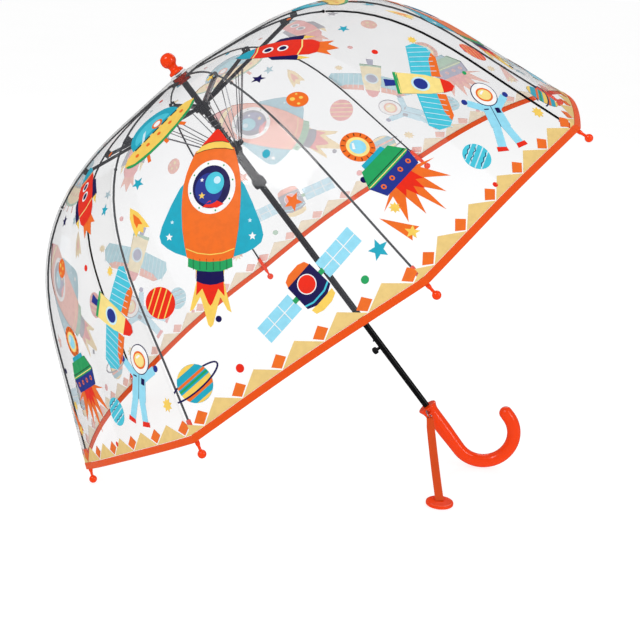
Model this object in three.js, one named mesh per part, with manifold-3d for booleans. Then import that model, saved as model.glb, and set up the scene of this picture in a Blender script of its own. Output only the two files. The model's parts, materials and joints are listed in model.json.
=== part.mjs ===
// A children's dome umbrella, open and resting on two rib tips and the bend of its handle.
// Millimetres. The umbrella is built upright, crown at z = 0 and ferrule up, then leaned over.
import * as THREE from "three";
import { mergeVertices } from "three/addons/utils/BufferGeometryUtils.js";
import Module from "manifold-3d";

const wasm = await Module();
wasm.setup();
const { Manifold, Mesh: SolidMesh } = wasm;

const RIBS = 8;
const STEP = (2 * Math.PI) / RIBS;
const GAP = 0.3;

// Canopy, as the profile of one rib: its slope from level along the arc from the crown.
const CROWN_R = 12; // where the profile starts to drop
const FILM = 0.25;
const RIB_ARC = 518;
const SLOPE_TOP = THREE.MathUtils.degToRad(5);
const SLOPE_RIM = THREE.MathUtils.degToRad(66);
const BEND_START = 60;
const BEND_END = 390;
const FLATNESS = 0.45; // 1 is a flat panel between ribs, 0 a round dome

// Shaft and handle
const SHAFT_R = 4;
const SHAFT_WALL = 0.8;
const SHAFT_BOTTOM = -530;
const HANDLE_TOP = -511;
const GRIP_R = 9.5;
const HOOK_R = 8.5;
const HOOK_BEND = 38;
const HOOK_START = -582;
const HOOK_END = 6;

// Frame: the stretcher is as long as the rib's inner part, so the hub stays on the shaft
const PIVOT_R = 8.4;
const CROWN_PIVOT_Z = -6.5;
const BRACKET_ARC = 149;
const BRACKET_DROP = 4.2;
const HINGE_ARC = 200;
const RIB_WIRE = 1.2;
const LINK_ON_STRETCHER = 60;
const LINK_WIRE = 0.6;
const RUNNER_PIVOT = { r: 12.5, z: -107 };
const RUNNER_BOTTOM = -165;
const BUTTON_Z = -414;

// Tips
const TIP_SLEEVE = 24; // inside the rim
const TIP_BALL = 13.5; // beyond the rim
const BALL_R = 4.6;

// Strap
const STRAP_W = 10;
const STRAP_T = 1.6;
const STRAP_SHORT = 2; // stops above the tag
const TAG_R = 16.5;
const TAG_T = 4.6;
const TAG_OUT = 125; // how far the tag lies out from the handle
const TAG_ALONG = 16; // and how far past the lug, toward the bend

const finish = (color, roughness, metalness = 0, extra = {}) =>
  new THREE.MeshStandardMaterial({ color, roughness, metalness, ...extra });
const clearFilm = finish(0xf4f7f8, 0.12, 0, { transparent: true, opacity: 0.3 });
const orangePlastic = finish(0xff4b0f, 0.22);
const orangeTape = finish(0xfc5408, 0.5);
const orangeRibbon = finish(0xf2561a, 0.75);
const blackMetal = finish(0x141416, 0.25, 0.6);
const blackPlastic = finish(0x18181a, 0.35);
const steel = finish(0xb9bcc0, 0.3, 0.9);
const milky = finish(0xe6e8ea, 0.35);

const root = new THREE.Group();
const umbrella = new THREE.Group();
root.add(umbrella);

function piece(parent, name, geometry, material) {
  const mesh = new THREE.Mesh(geometry, material);
  mesh.name = name;
  parent.add(mesh);
  return mesh;
}

// ---- solids -------------------------------------------------------------------------------

function toSolid(geometry) {
  const bare = geometry.clone();
  bare.deleteAttribute("normal");
  bare.deleteAttribute("uv");
  const merged = mergeVertices(bare, 1e-4);
  return Manifold.ofMesh(
    new SolidMesh({
      numProp: 3,
      vertProperties: new Float32Array(merged.attributes.position.array),
      triVerts: new Uint32Array(merged.index.array),
    }),
  );
}

function toGeometry(solid) {
  const mesh = solid.getMesh();
  const geometry = new THREE.BufferGeometry();
  geometry.setAttribute("position", new THREE.BufferAttribute(mesh.vertProperties, 3));
  geometry.setIndex(new THREE.BufferAttribute(mesh.triVerts, 1));
  geometry.computeVertexNormals();
  return geometry;
}

const join = (...geometries) => toGeometry(Manifold.union(geometries.map(toSolid)));
const cut = (body, ...tools) => toGeometry(toSolid(body).subtract(Manifold.union(tools.map(toSolid))));

const circle = (r, sides) =>
  new THREE.Shape(
    Array.from({ length: sides }, (_, i) => {
      const a = (2 * Math.PI * i) / sides;
      return new THREE.Vector2(r * Math.cos(a), r * Math.sin(a));
    }),
  );

const smooth = (points) => new THREE.CatmullRomCurve3(points, false, "centripetal");

function wire(curve, r, steps, sides = 6) {
  return new THREE.ExtrudeGeometry(circle(r, sides), { extrudePath: curve, steps, bevelEnabled: false });
}

// A lathe about z. Its profile is [radius, z] pairs from the bottom up.
function turned(profile, sides = 32) {
  const points = profile.map(([r, z]) => new THREE.Vector2(r, z));
  return new THREE.LatheGeometry(points, sides).rotateX(Math.PI / 2);
}

const ring = (inner, outer, z0, z1, sides = 32) =>
  turned([[inner, z0], [outer, z0], [outer, z1], [inner, z1], [inner, z0]], sides);

// A rod along y between two lateral positions, at (x, z).
function rod(r, x, z, y0, y1, sides = 8) {
  return new THREE.CylinderGeometry(r, r, y1 - y0, sides).translate(x, (y0 + y1) / 2, z);
}

// A block with its middle at (x, y, z).
const block = (w, d, h, x, y, z) => new THREE.BoxGeometry(w, d, h).translate(x, y, z);

// ---- canopy profile -------------------------------------------------------------------------

function slopeAt(arc) {
  const t = THREE.MathUtils.clamp((arc - BEND_START) / (BEND_END - BEND_START), 0, 1);
  return SLOPE_TOP + (SLOPE_RIM - SLOPE_TOP) * t * t * (3 - 2 * t);
}

// The rib's line on the film at an arc length from the crown: radius, height and slope.
function profileAt(arc) {
  const pieces = Math.max(1, Math.ceil(arc / 2));
  const ds = arc / pieces;
  let r = CROWN_R;
  let z = 0;
  for (let i = 0; i < pieces; i++) {
    const slope = slopeAt((i + 0.5) * ds);
    r += Math.cos(slope) * ds;
    z -= Math.sin(slope) * ds;
  }
  return { r, z, slope: slopeAt(arc) };
}

// The film's outer surface, moved in by depth. turn is the angle from a rib, within one panel.
function filmPoint(arc, angle, depth = 0) {
  const { r, z, slope } = profileAt(arc);
  const middle = THREE.MathUtils.euclideanModulo(angle, STEP) - STEP / 2;
  const chord = Math.cos(STEP / 2) / Math.cos(middle);
  const radius = r * (1 - FLATNESS * (1 - chord)) - depth * Math.sin(slope);
  return new THREE.Vector3(radius * Math.cos(angle), radius * Math.sin(angle), z - depth * Math.cos(slope));
}

// The rim rises a little between the ribs.
const rimArc = (angle) => {
  const t = THREE.MathUtils.euclideanModulo(angle, STEP) / STEP;
  return RIB_ARC - 6 * Math.sin(Math.PI * t);
};

// A closed surface of stacked loops. loops[i] is a list of points, and the stack closes on itself.
function closedStack(loops) {
  const count = loops[0].length;
  const points = loops.flat();
  const index = [];
  for (let i = 0; i < loops.length; i++) {
    const a = i * count;
    const b = ((i + 1) % loops.length) * count;
    for (let j = 0; j < count; j++) {
      const k = (j + 1) % count;
      index.push(a + j, b + j, b + k, a + j, b + k, a + k);
    }
  }
  const geometry = new THREE.BufferGeometry().setFromPoints(points);
  geometry.setIndex(index);
  geometry.computeVertexNormals();
  return geometry;
}

const AROUND = 32;
const FIRST = THREE.MathUtils.degToRad(22.5); // azimuth of the first rib
const angles = Array.from({ length: AROUND }, (_, j) => (2 * Math.PI * j) / AROUND);
const turnedBy = (geometry) => geometry.rotateZ(FIRST);

function canopyGeometry() {
  const rows = 20;
  const loop = (t, depth) => angles.map((a) => filmPoint(t * rimArc(a), a, depth));
  const hole = (z) => angles.map((a) => new THREE.Vector3(4.6 * Math.cos(a), 4.6 * Math.sin(a), z));
  const outer = [];
  const inner = [];
  for (let i = 0; i <= rows; i++) {
    outer.push(loop(i / rows, 0));
    inner.unshift(loop(i / rows, FILM));
  }
  return turnedBy(closedStack([hole(0), ...outer, ...inner, hole(-FILM)]));
}

// Tape folded over the rim: outside, under the edge, and inside, clear of the film.
function bindingGeometry() {
  const up = 7.5;
  const skin = 0.45;
  const near = 0.12;
  const loop = (below, depth) =>
    angles.map((a) => filmPoint(rimArc(a) + below, a, depth));
  return turnedBy(
    closedStack([
      loop(-up, -near - skin),
      loop(near + skin, -near - skin),
      loop(near + skin, FILM + near + skin),
      loop(-up, FILM + near + skin),
      loop(-up, FILM + near),
      loop(near, FILM + near),
      loop(near, -near),
      loop(-up, -near),
    ]),
  );
}

piece(umbrella, "canopy", canopyGeometry(), clearFilm);
piece(umbrella, "rim_binding", bindingGeometry(), orangeTape);

// ---- shaft, ferrule, crown --------------------------------------------------------------------

const shaftTube = ring(SHAFT_R - SHAFT_WALL, SHAFT_R, SHAFT_BOTTOM, 7.4, 24);
const sideHole = (r, z, depth = 6) =>
  new THREE.CylinderGeometry(r, r, depth, 16).rotateZ(Math.PI / 2).translate(-depth / 2 - 1, 0, z);
piece(
  umbrella,
  "shaft_tube",
  cut(shaftTube, sideHole(2.4, BUTTON_Z), block(6, 2.2, 8, -4, 0, BUTTON_Z + 14)),
  blackMetal,
);
piece(
  umbrella,
  "ferrule",
  turned([
    [4.3, 2.4], [9.3, 2.4], [9.3, 5.4], [8.6, 6.6], [6.2, 7.6], [5.3, 9.9], [5.3, 11.9], [6.4, 13.4], [8.2, 15.4],
    [9.2, 18.4], [9.3, 21], [8.7, 24], [7, 27], [4.2, 28.8], [0, 29.4], [0, 8.4], [4.3, 8.4], [4.3, 2.4],
  ], 24),
  orangePlastic,
);
piece(
  umbrella,
  "crown_cap",
  turned([[4.2, GAP], [10.6, GAP], [10.6, 1.3], [9.8, 2.1], [4.2, 2.1], [4.2, GAP]]),
  milky,
);

// A notched disc: slots for the arms and a groove for the wire they hang on.
function notched(bottom, top, pivotZ, outer) {
  const slots = Array.from({ length: RIBS }, (_, k) =>
    block(20, 2.5, 20, 16, 0, pivotZ).rotateZ(k * STEP),
  );
  const groove = turned([
    [PIVOT_R - 0.8, pivotZ - 0.8], [outer + 1, pivotZ - 0.8], [outer + 1, pivotZ + 0.8],
    [PIVOT_R - 0.8, pivotZ + 0.8], [PIVOT_R - 0.8, pivotZ - 0.8],
  ]);
  return cut(ring(SHAFT_R + 0.25, outer, bottom, top), groove, ...slots).rotateZ(FIRST);
}
const pivotWire = (z) => new THREE.TorusGeometry(PIVOT_R, 0.5, 6, 24).rotateZ(FIRST).translate(0, 0, z);

piece(umbrella, "crown_notch", notched(-11, -1.4, CROWN_PIVOT_Z, 10.4), blackPlastic);
piece(umbrella, "crown_wire", pivotWire(CROWN_PIVOT_Z), steel);

// ---- handle ---------------------------------------------------------------------------------

class Hook extends THREE.Curve {
  getPoint(t) {
    const lengths = [1, Math.PI * HOOK_BEND, HOOK_END];
    const total = lengths[0] + lengths[1] + lengths[2];
    const s = t * total;
    if (s < lengths[0]) return new THREE.Vector3(0, 0, HOOK_START + lengths[0] - s);
    if (s < lengths[0] + lengths[1]) {
      const a = (s - lengths[0]) / HOOK_BEND;
      return new THREE.Vector3(HOOK_BEND * (1 - Math.cos(a)), 0, HOOK_START - HOOK_BEND * Math.sin(a));
    }
    return new THREE.Vector3(2 * HOOK_BEND, 0, HOOK_START + s - lengths[0] - lengths[1]);
  }
}

const gripTurned = turned([
  [0, HOOK_START - 0.5], [HOOK_R, HOOK_START - 0.5], [HOOK_R + 0.2, HOOK_START + 10], [GRIP_R, HOOK_START + 34],
  [GRIP_R, HANDLE_TOP - 9], [10.4, HANDLE_TOP - 5], [12.2, HANDLE_TOP - 2], [12.2, HANDLE_TOP - 0.6],
  [11.4, HANDLE_TOP], [0, HANDLE_TOP],
], 24);
const hookBend = wire(new Hook(), HOOK_R, 24, 24);
const hookTip = new THREE.SphereGeometry(HOOK_R, 24, 12).translate(2 * HOOK_BEND, 0, HOOK_START + HOOK_END);
const LUG = { y: -14.4, z: HANDLE_TOP - 6 };
const lug = new THREE.CylinderGeometry(3.6, 3.6, 3.2, 16).rotateX(Math.PI / 2).translate(0, LUG.y, LUG.z);
const lugArm = block(7.2, 6, 3.2, 0, LUG.y + 3, LUG.z);
const lugHole = new THREE.CylinderGeometry(1.9, 1.9, 8, 16).rotateX(Math.PI / 2).translate(0, LUG.y, LUG.z);
const shaftHole = new THREE.CylinderGeometry(4.25, 4.25, 30, 24).rotateX(Math.PI / 2).translate(0, 0, -517);
piece(
  umbrella,
  "handle",
  cut(join(gripTurned, hookBend, hookTip, lug, lugArm), shaftHole, lugHole),
  orangePlastic,
);

// ---- runner, hub, spring, button -----------------------------------------------------------------

const bracketPoint = (() => {
  const { r, z, slope } = profileAt(BRACKET_ARC);
  const depth = ribDepth(BRACKET_ARC) + BRACKET_DROP;
  return { r: r - depth * Math.sin(slope), z: z - depth * Math.cos(slope) };
})();
const ARM = Math.hypot(bracketPoint.r - PIVOT_R, bracketPoint.z - CROWN_PIVOT_Z);
const ARM_ANGLE = Math.atan2(CROWN_PIVOT_Z - bracketPoint.z, bracketPoint.r - PIVOT_R);
const HUB_Z = 2 * bracketPoint.z - CROWN_PIVOT_Z;
const linkTop = {
  r: PIVOT_R + LINK_ON_STRETCHER * Math.cos(ARM_ANGLE),
  z: HUB_Z + LINK_ON_STRETCHER * Math.sin(ARM_ANGLE),
};

// The rib's wire runs this far under the film's outer face, deeper where the tips and tape are.
function ribDepth(arc) {
  const t = THREE.MathUtils.clamp((arc - 360) / 100, 0, 1);
  return 3.1 + 1.1 * t * t * (3 - 2 * t);
}

function ribPoint(arc) {
  const { r, z, slope } = profileAt(arc);
  const depth = ribDepth(arc);
  return new THREE.Vector3(r - depth * Math.sin(slope), 0, z - depth * Math.cos(slope));
}

const hubSleeve = ring(SHAFT_R + 0.35, 6.8, HUB_Z - 9, HUB_Z - 3, 24);
piece(
  umbrella,
  "upper_hub",
  join(notched(HUB_Z - 3.6, HUB_Z + 3.6, HUB_Z, 10.4), hubSleeve),
  blackPlastic,
);
piece(umbrella, "hub_wire", pivotWire(HUB_Z), steel);

const SPRING_TOP = HUB_Z - 9 - GAP;
const SPRING_BOTTOM = RUNNER_PIVOT.z + 5 + GAP;
class Coil extends THREE.Curve {
  getPoint(t) {
    const a = 2 * Math.PI * 7 * t;
    const z = SPRING_BOTTOM + 0.6 + t * (SPRING_TOP - SPRING_BOTTOM - 1.2);
    return new THREE.Vector3(5.7 * Math.cos(a), 5.7 * Math.sin(a), z);
  }
}
piece(umbrella, "opening_spring", wire(new Coil(), 0.55, 98, 6), steel);

const runnerSleeve = turned([
  [SHAFT_R + 0.35, RUNNER_BOTTOM], [7.8, RUNNER_BOTTOM], [8.4, RUNNER_BOTTOM + 1.2],
  [8.4, RUNNER_BOTTOM + 11], [7.8, RUNNER_BOTTOM + 12.4], [7, RUNNER_BOTTOM + 13.4],
  [6.9, RUNNER_PIVOT.z - 12], [8.6, RUNNER_PIVOT.z - 6], [8.6, RUNNER_PIVOT.z + 4.4],
  [7.8, RUNNER_PIVOT.z + 5], [SHAFT_R + 0.35, RUNNER_PIVOT.z + 5], [SHAFT_R + 0.35, RUNNER_BOTTOM],
], 24);
const runnerFins = Array.from({ length: RIBS }, (_, k) =>
  block(7.5, 2, 6, 11, 0, RUNNER_PIVOT.z).rotateZ(FIRST + k * STEP),
);
const runnerHoles = Array.from({ length: RIBS }, (_, k) =>
  rod(1.05, RUNNER_PIVOT.r, RUNNER_PIVOT.z, -2, 2).rotateZ(FIRST + k * STEP),
);
piece(umbrella, "runner", cut(join(runnerSleeve, ...runnerFins), ...runnerHoles), blackPlastic);

const buttonTurned = turned([
  [0, 1.2], [1.9, 1.2], [1.9, 7.3], [3.9, 7.6], [4.5, 8.8], [4.4, 11.6], [3.2, 13.2], [1.6, 13.6], [0, 13.6],
], 20);
piece(umbrella, "button", buttonTurned.rotateY(-Math.PI / 2).translate(0, 0, BUTTON_Z), blackPlastic);
const leaf = block(0.7, 2, 40, -0.6, 0, BUTTON_Z + 12);
const tooth = new THREE.ExtrudeGeometry(
  new THREE.Shape([
    new THREE.Vector2(-0.6, BUTTON_Z + 10.8), new THREE.Vector2(-5.6, BUTTON_Z + 10.8),
    new THREE.Vector2(-5.6, BUTTON_Z + 12), new THREE.Vector2(-0.6, BUTTON_Z + 17.2),
  ]),
  { depth: 1.6, bevelEnabled: false },
).rotateX(Math.PI / 2).translate(0, 0.8, 0);
piece(umbrella, "catch_leaf", join(leaf, tooth), steel);

// ---- ribs, stretchers, links, tips ----------------------------------------------------------------
// Each is built in the plane y = 0 of one rib, x outwards.

const hingePoint = ribPoint(HINGE_ARC);
const crownPivot = new THREE.Vector3(PIVOT_R, 0, CROWN_PIVOT_Z);

function alongRib(from, to, count) {
  return Array.from({ length: count + 1 }, (_, i) => ribPoint(from + ((to - from) * i) / count));
}

// A flat eye on the pivot wire, pointing along angle, with its hole.
function eye(pivot, angle, length, depth) {
  const plate = block(length, 2, depth, length / 2, 0, 0);
  const nose = rod(depth / 2, 0, 0, -1, 1);
  return join(plate, nose).rotateY(-angle).translate(pivot.x, 0, pivot.z);
}
const eyeHole = (pivot) => rod(0.95, pivot.x, pivot.z, -3, 3);

function upperRibGeometry() {
  const path = [new THREE.Vector3(13.5, 0, -6), new THREE.Vector3(20, 0, -4.6), ...alongRib(24, HINGE_ARC, 8)];
  const line = wire(smooth(path), RIB_WIRE - 0.1, 12);
  const knuckle = new THREE.SphereGeometry(1.9, 8, 5).translate(hingePoint.x, 0, hingePoint.z);
  const slope = profileAt(BRACKET_ARC).slope;
  const cheek = (y) =>
    block(7, 0.8, 6.6, 0, y, 0.9).rotateY(slope).translate(bracketPoint.r, 0, bracketPoint.z);
  const saddle = block(7, 7.5, 1.2, 0, 0, BRACKET_DROP - 0.6)
    .rotateY(slope)
    .translate(bracketPoint.r, 0, bracketPoint.z);
  const pin = rod(0.7, bracketPoint.r, bracketPoint.z, -3.6, 3.6, 8);
  const body = join(eye(crownPivot, 0, 7, 3), line, knuckle, cheek(-3.35), cheek(3.35), saddle, pin);
  return cut(body, eyeHole(crownPivot));
}

function stretcherGeometry() {
  const u = new THREE.Shape();
  [[-2.5, -1.8], [2.5, -1.8], [2.5, 1.8], [1.7, 1.8], [1.7, -1], [-1.7, -1], [-1.7, 1.8], [-2.5, 1.8]].forEach(
    ([x, y], i) => (i ? u.lineTo(x, y) : u.moveTo(x, y)),
  );
  const start = 7;
  const end = ARM + 2.4;
  const channel = new THREE.ExtrudeGeometry(u, { depth: end - start, bevelEnabled: false })
    .applyMatrix4(new THREE.Matrix4().makeBasis(
      new THREE.Vector3(0, -1, 0), new THREE.Vector3(0, 0, 1), new THREE.Vector3(-1, 0, 0)))
    .rotateZ(Math.PI)
    .translate(start, 0, 0);
  const tongue = block(12, 2, 3, 6, 0, 0);
  const nose = rod(1.5, 0, 0, -1, 1);
  const body = join(channel, tongue, nose);
  const holes = [rod(0.95, 0, 0, -3, 3), rod(1.1, ARM, 0, -3, 3)];
  return cut(body, ...holes).rotateY(-ARM_ANGLE).translate(PIVOT_R, 0, HUB_Z);
}

// A bail: a cross bar through the runner's fin, and a leg up each side of the stretcher.
function linkGeometry() {
  const dr = linkTop.r - RUNNER_PIVOT.r;
  const dz = linkTop.z - RUNNER_PIVOT.z;
  const length = Math.hypot(dr, dz);
  const bar = rod(LINK_WIRE, 0, 0, -2.3, 2.3, 6);
  const leg = (side) => {
    const points = [
      new THREE.Vector3(0, side * 2, 0), new THREE.Vector3(4, side * 2.1, 0),
      new THREE.Vector3(14, side * 3.45, 0), new THREE.Vector3(length + 1.2, side * 3.45, 0),
    ];
    return wire(new THREE.CatmullRomCurve3(points, false, "catmullrom", 0), LINK_WIRE, 4, 6);
  };
  const knee = (side) => new THREE.SphereGeometry(LINK_WIRE, 6, 4).translate(0, side * 2, 0);
  return join(bar, leg(-1), leg(1), knee(-1), knee(1))
    .rotateY(-Math.atan2(dz, dr))
    .translate(RUNNER_PIVOT.r, 0, RUNNER_PIVOT.z);
}

const rim = profileAt(RIB_ARC);
const tipStart = ribPoint(RIB_ARC - TIP_SLEEVE);
const tipAlong = { x: Math.cos(rim.slope), z: -Math.sin(rim.slope) };

function lowerRibGeometry() {
  const path = [...alongRib(HINGE_ARC + 3, RIB_ARC - TIP_SLEEVE - 4, 10)];
  const inside = new THREE.Vector3(tipStart.x + 14 * tipAlong.x, 0, tipStart.z + 14 * tipAlong.z);
  return wire(smooth([...path, tipStart, inside]), RIB_WIRE, 16);
}

function tipGeometry() {
  const ballAt = TIP_SLEEVE + TIP_BALL;
  const ball = Array.from({ length: 6 }, (_, i) => {
    const a = -Math.PI / 2 + 0.32 + ((Math.PI - 0.32) * i) / 5;
    return [i === 5 ? 0 : BALL_R * Math.cos(a), ballAt + BALL_R * Math.sin(a)];
  });
  return turned([
    [1.75, 0], [2.4, 0.4], [2.4, TIP_SLEEVE + 3], [1.6, TIP_SLEEVE + 5], [1.6, ballAt - BALL_R + 0.2],
    ...ball, [0, 16], [1.75, 16], [1.75, 0],
  ], 10)
    .rotateY(Math.PI / 2 + rim.slope)
    .translate(tipStart.x, 0, tipStart.z);
}

const shared = {
  upper_rib: [upperRibGeometry(), blackMetal],
  lower_rib: [lowerRibGeometry(), blackMetal],
  rib_tip: [tipGeometry(), orangePlastic],
  stretcher: [stretcherGeometry(), blackMetal],
  link: [linkGeometry(), steel],
};
for (let k = 0; k < RIBS; k++) {
  const plane = new THREE.Group();
  plane.rotation.z = FIRST + k * STEP;
  umbrella.add(plane);
  for (const [name, [geometry, material]] of Object.entries(shared)) {
    piece(plane, `${name}_${k + 1}`, geometry, material);
  }
}

// ---- lean it on the floor -----------------------------------------------------------------------
// Two rib balls and the bend of the handle touch the floor together.

const ballR = tipStart.x + (TIP_SLEEVE + TIP_BALL) * tipAlong.x;
const ballZ = tipStart.z + (TIP_SLEEVE + TIP_BALL) * tipAlong.z;
const across = HOOK_BEND + ballR * Math.cos(STEP / 2);
const along = ballZ - HOOK_START;
const lift = HOOK_BEND + HOOK_R - BALL_R;
const LEAN = Math.acos(lift / Math.hypot(across, along)) - Math.atan2(along, across);
umbrella.rotation.y = LEAN - Math.PI / 2;

root.updateMatrixWorld(true);
const box = new THREE.Box3().setFromObject(umbrella, true);
const middle = box.getCenter(new THREE.Vector3());
umbrella.position.set(-middle.x, -middle.y, -box.min.z);
root.updateMatrixWorld(true);

// ---- strap, from its wire ring down to a tag on the floor --------------------------------------------

const RING_R = 7.5;
const lugWorld = umbrella.localToWorld(new THREE.Vector3(0, LUG.y, LUG.z));
const axisWorld = new THREE.Vector3(0, 0, 1).transformDirection(umbrella.matrixWorld);
const tagTop = new THREE.Vector3(lugWorld.x + TAG_ALONG, -TAG_OUT, TAG_T);
const outwards = new THREE.Vector3(0, -1, 0);
const ringCentre = lugWorld.clone().addScaledVector(outwards, RING_R);
const strapRing = piece(root, "strap_ring", new THREE.TorusGeometry(RING_R, 0.8, 8, 28), steel);
strapRing.quaternion.setFromRotationMatrix(
  new THREE.Matrix4().makeBasis(outwards, axisWorld, outwards.clone().cross(axisWorld)),
);
strapRing.position.copy(ringCentre);

const strapTop = ringCentre.clone().addScaledVector(outwards, RING_R + 0.8 + GAP + 0.2);
const strapEnd = tagTop.clone().setZ(TAG_T + GAP);
const strapRun = strapEnd.clone().sub(strapTop);
const strapDown = strapRun.clone().normalize();
const strapWide = new THREE.Vector3(1, 0, 0).addScaledVector(strapDown, -strapDown.x).normalize();
const strapFace = strapDown.clone().cross(strapWide);
const strapShape = new THREE.Shape([
  new THREE.Vector2(-STRAP_W / 2, -STRAP_T / 2), new THREE.Vector2(STRAP_W / 2, -STRAP_T / 2),
  new THREE.Vector2(STRAP_W / 2, STRAP_T / 2), new THREE.Vector2(-STRAP_W / 2, STRAP_T / 2),
]);
const strap = piece(
  root,
  "strap",
  new THREE.ExtrudeGeometry(strapShape, { depth: strapRun.length() - STRAP_SHORT, steps: 8, bevelEnabled: false }),
  orangeRibbon,
);
strap.quaternion.setFromRotationMatrix(new THREE.Matrix4().makeBasis(strapWide, strapFace, strapDown));
strap.position.copy(strapTop);

const tag = piece(
  root,
  "strap_tag",
  turned([
    [0, 0], [TAG_R - 1, 0], [TAG_R, 1], [TAG_R, TAG_T - 1], [TAG_R - 1, TAG_T], [0, TAG_T],
  ], 32),
  orangePlastic,
);
tag.position.set(tagTop.x, tagTop.y, 0);

export default root;
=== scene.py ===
# A child's clear dome umbrella, standing open on two rib tips and the bend of its handle.
# Panel measures are in millimetres: across from the panel's middle, down from the crown.
import json
import math

import bmesh
import bpy
import numpy as np
from mathutils import Matrix, Vector


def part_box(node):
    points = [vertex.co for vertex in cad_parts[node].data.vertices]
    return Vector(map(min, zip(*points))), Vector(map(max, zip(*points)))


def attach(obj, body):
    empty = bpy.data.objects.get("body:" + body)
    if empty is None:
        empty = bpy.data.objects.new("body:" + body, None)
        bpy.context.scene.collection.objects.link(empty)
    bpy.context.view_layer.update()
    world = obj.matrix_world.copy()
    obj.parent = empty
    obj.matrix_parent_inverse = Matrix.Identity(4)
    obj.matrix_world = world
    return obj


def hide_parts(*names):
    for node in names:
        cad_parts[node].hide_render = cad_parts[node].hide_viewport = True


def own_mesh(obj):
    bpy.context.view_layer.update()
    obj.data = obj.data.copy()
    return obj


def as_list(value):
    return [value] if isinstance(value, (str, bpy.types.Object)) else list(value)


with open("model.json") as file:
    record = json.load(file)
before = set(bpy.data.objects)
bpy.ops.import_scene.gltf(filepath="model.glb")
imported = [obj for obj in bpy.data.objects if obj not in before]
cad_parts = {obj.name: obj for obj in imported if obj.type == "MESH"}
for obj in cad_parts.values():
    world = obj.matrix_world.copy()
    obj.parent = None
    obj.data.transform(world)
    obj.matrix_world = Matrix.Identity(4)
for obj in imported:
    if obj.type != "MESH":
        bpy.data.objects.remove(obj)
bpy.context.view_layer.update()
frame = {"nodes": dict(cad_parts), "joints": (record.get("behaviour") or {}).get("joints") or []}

# ---- where the umbrella stands

MM = 0.001
JOINTS = {j["name"]: j for j in frame["joints"]}
RIBS = 8
STEP = 2 * math.pi / RIBS
FIRST = STEP / 2
PIVOT_BELOW_CROWN = 6.5 * MM
AXIS = Vector(JOINTS["runner_slide"]["axis"]).normalized()
ACROSS = Vector((0, 1, 0))
UP_SIDE = ACROSS.cross(AXIS)
_pivots = [Vector(JOINTS[f"rib_{n}_fold"]["pos_m"]) for n in range(1, RIBS + 1)]
CROWN = sum(_pivots, Vector()) / RIBS + AXIS * PIVOT_BELOW_CROWN
BASIS = np.array([UP_SIDE, ACROSS, AXIS])


def place(x, y, z):
    """A point given in millimetres from the crown, with z up the shaft."""
    return CROWN + (UP_SIDE * x + ACROSS * y + AXIS * z) * MM


def outward(angle):
    """The direction away from the shaft at an angle around it."""
    return UP_SIDE * math.cos(angle) + ACROSS * math.sin(angle)


def rib_angle(rib):
    return FIRST + (rib - 1) * STEP


# ---- the canopy's shape

# An arc is a length along a rib from the crown's edge. A turn is an angle from the panel's middle.
CROWN_R, HOLE_R = 12.0, 4.6
RIB_ARC, HINGE_ARC = 518.0, 200.0
RIM_RISE = 6.0
SLOPE_TOP, SLOPE_RIM = math.radians(5), math.radians(66)
BEND_START, BEND_END = 60.0, 390.0
FLATNESS = 0.45
WIRE_DEPTH, WIRE_DEEPER = 3.1, 1.1
DEEPER_START, DEEPER_END = 360, 460
ARC_STEP = 0.5
_arcs = np.arange(0, RIB_ARC + 8, ARC_STEP)


def eased(value, low, high):
    """0 below low, 1 above high, and a smooth curve between."""
    t = np.clip((value - low) / (high - low), 0, 1)
    return t * t * (3 - 2 * t)


def slope_at(arc):
    """How steeply the canopy falls, as an angle."""
    bend = eased(arc, BEND_START, BEND_END)
    return np.where(arc < 0, 0, SLOPE_TOP + (SLOPE_RIM - SLOPE_TOP) * bend)


_mid = slope_at(_arcs[:-1] + ARC_STEP / 2)
_radii = CROWN_R + np.concatenate([[0], np.cumsum(np.cos(_mid) * ARC_STEP)])
_heights = -np.concatenate([[0], np.cumsum(np.sin(_mid) * ARC_STEP)])


def radius_at(arc):
    return np.interp(arc, _arcs, _radii) + np.minimum(arc, 0)


def rim_arc(turn):
    """Where the film ends: the rim rises a little between ribs."""
    return RIB_ARC - RIM_RISE * np.sin(np.pi * (np.abs(turn) / STEP + 0.5))


def panel_middle(panel):
    return FIRST + (panel + 0.5) * STEP


def canopy_points(panel, turn, arc, depth=0.0):
    """Rows of points on the film, moved in by depth, in the frame."""
    turn, arc = np.broadcast_arrays(np.asarray(turn, float), np.asarray(arc, float))
    slope = slope_at(arc)
    flat = 1 - FLATNESS * (1 - math.cos(STEP / 2) / np.cos(turn))
    r = radius_at(arc) * flat - depth * np.sin(slope)
    z = np.interp(arc, _arcs, _heights) - depth * np.cos(slope)
    angle = panel_middle(panel) + turn
    local = np.stack([r * np.cos(angle), r * np.sin(angle), z], -1) * MM
    return np.array(CROWN) + local @ BASIS


def canopy_normals(panel, turn, arc):
    small = 1e-3
    east = canopy_points(panel, turn + small, arc) - canopy_points(panel, turn - small, arc)
    south = canopy_points(panel, turn, arc + ARC_STEP) - canopy_points(panel, turn, arc - ARC_STEP)
    out = np.cross(south, east)
    return out / np.maximum(np.linalg.norm(out, axis=-1, keepdims=True), 1e-12)


def rib_point(rib, arc):
    """A point on the wire of a rib, which runs under the film."""
    slope = float(slope_at(arc))
    depth = float(WIRE_DEPTH + WIRE_DEEPER * eased(arc, DEEPER_START, DEEPER_END))
    r = float(radius_at(arc)) - depth * math.sin(slope)
    z = float(np.interp(arc, _arcs, _heights)) - depth * math.cos(slope)
    angle = rib_angle(rib)
    return place(r * math.cos(angle), r * math.sin(angle), z)


# ---- nodes


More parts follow.
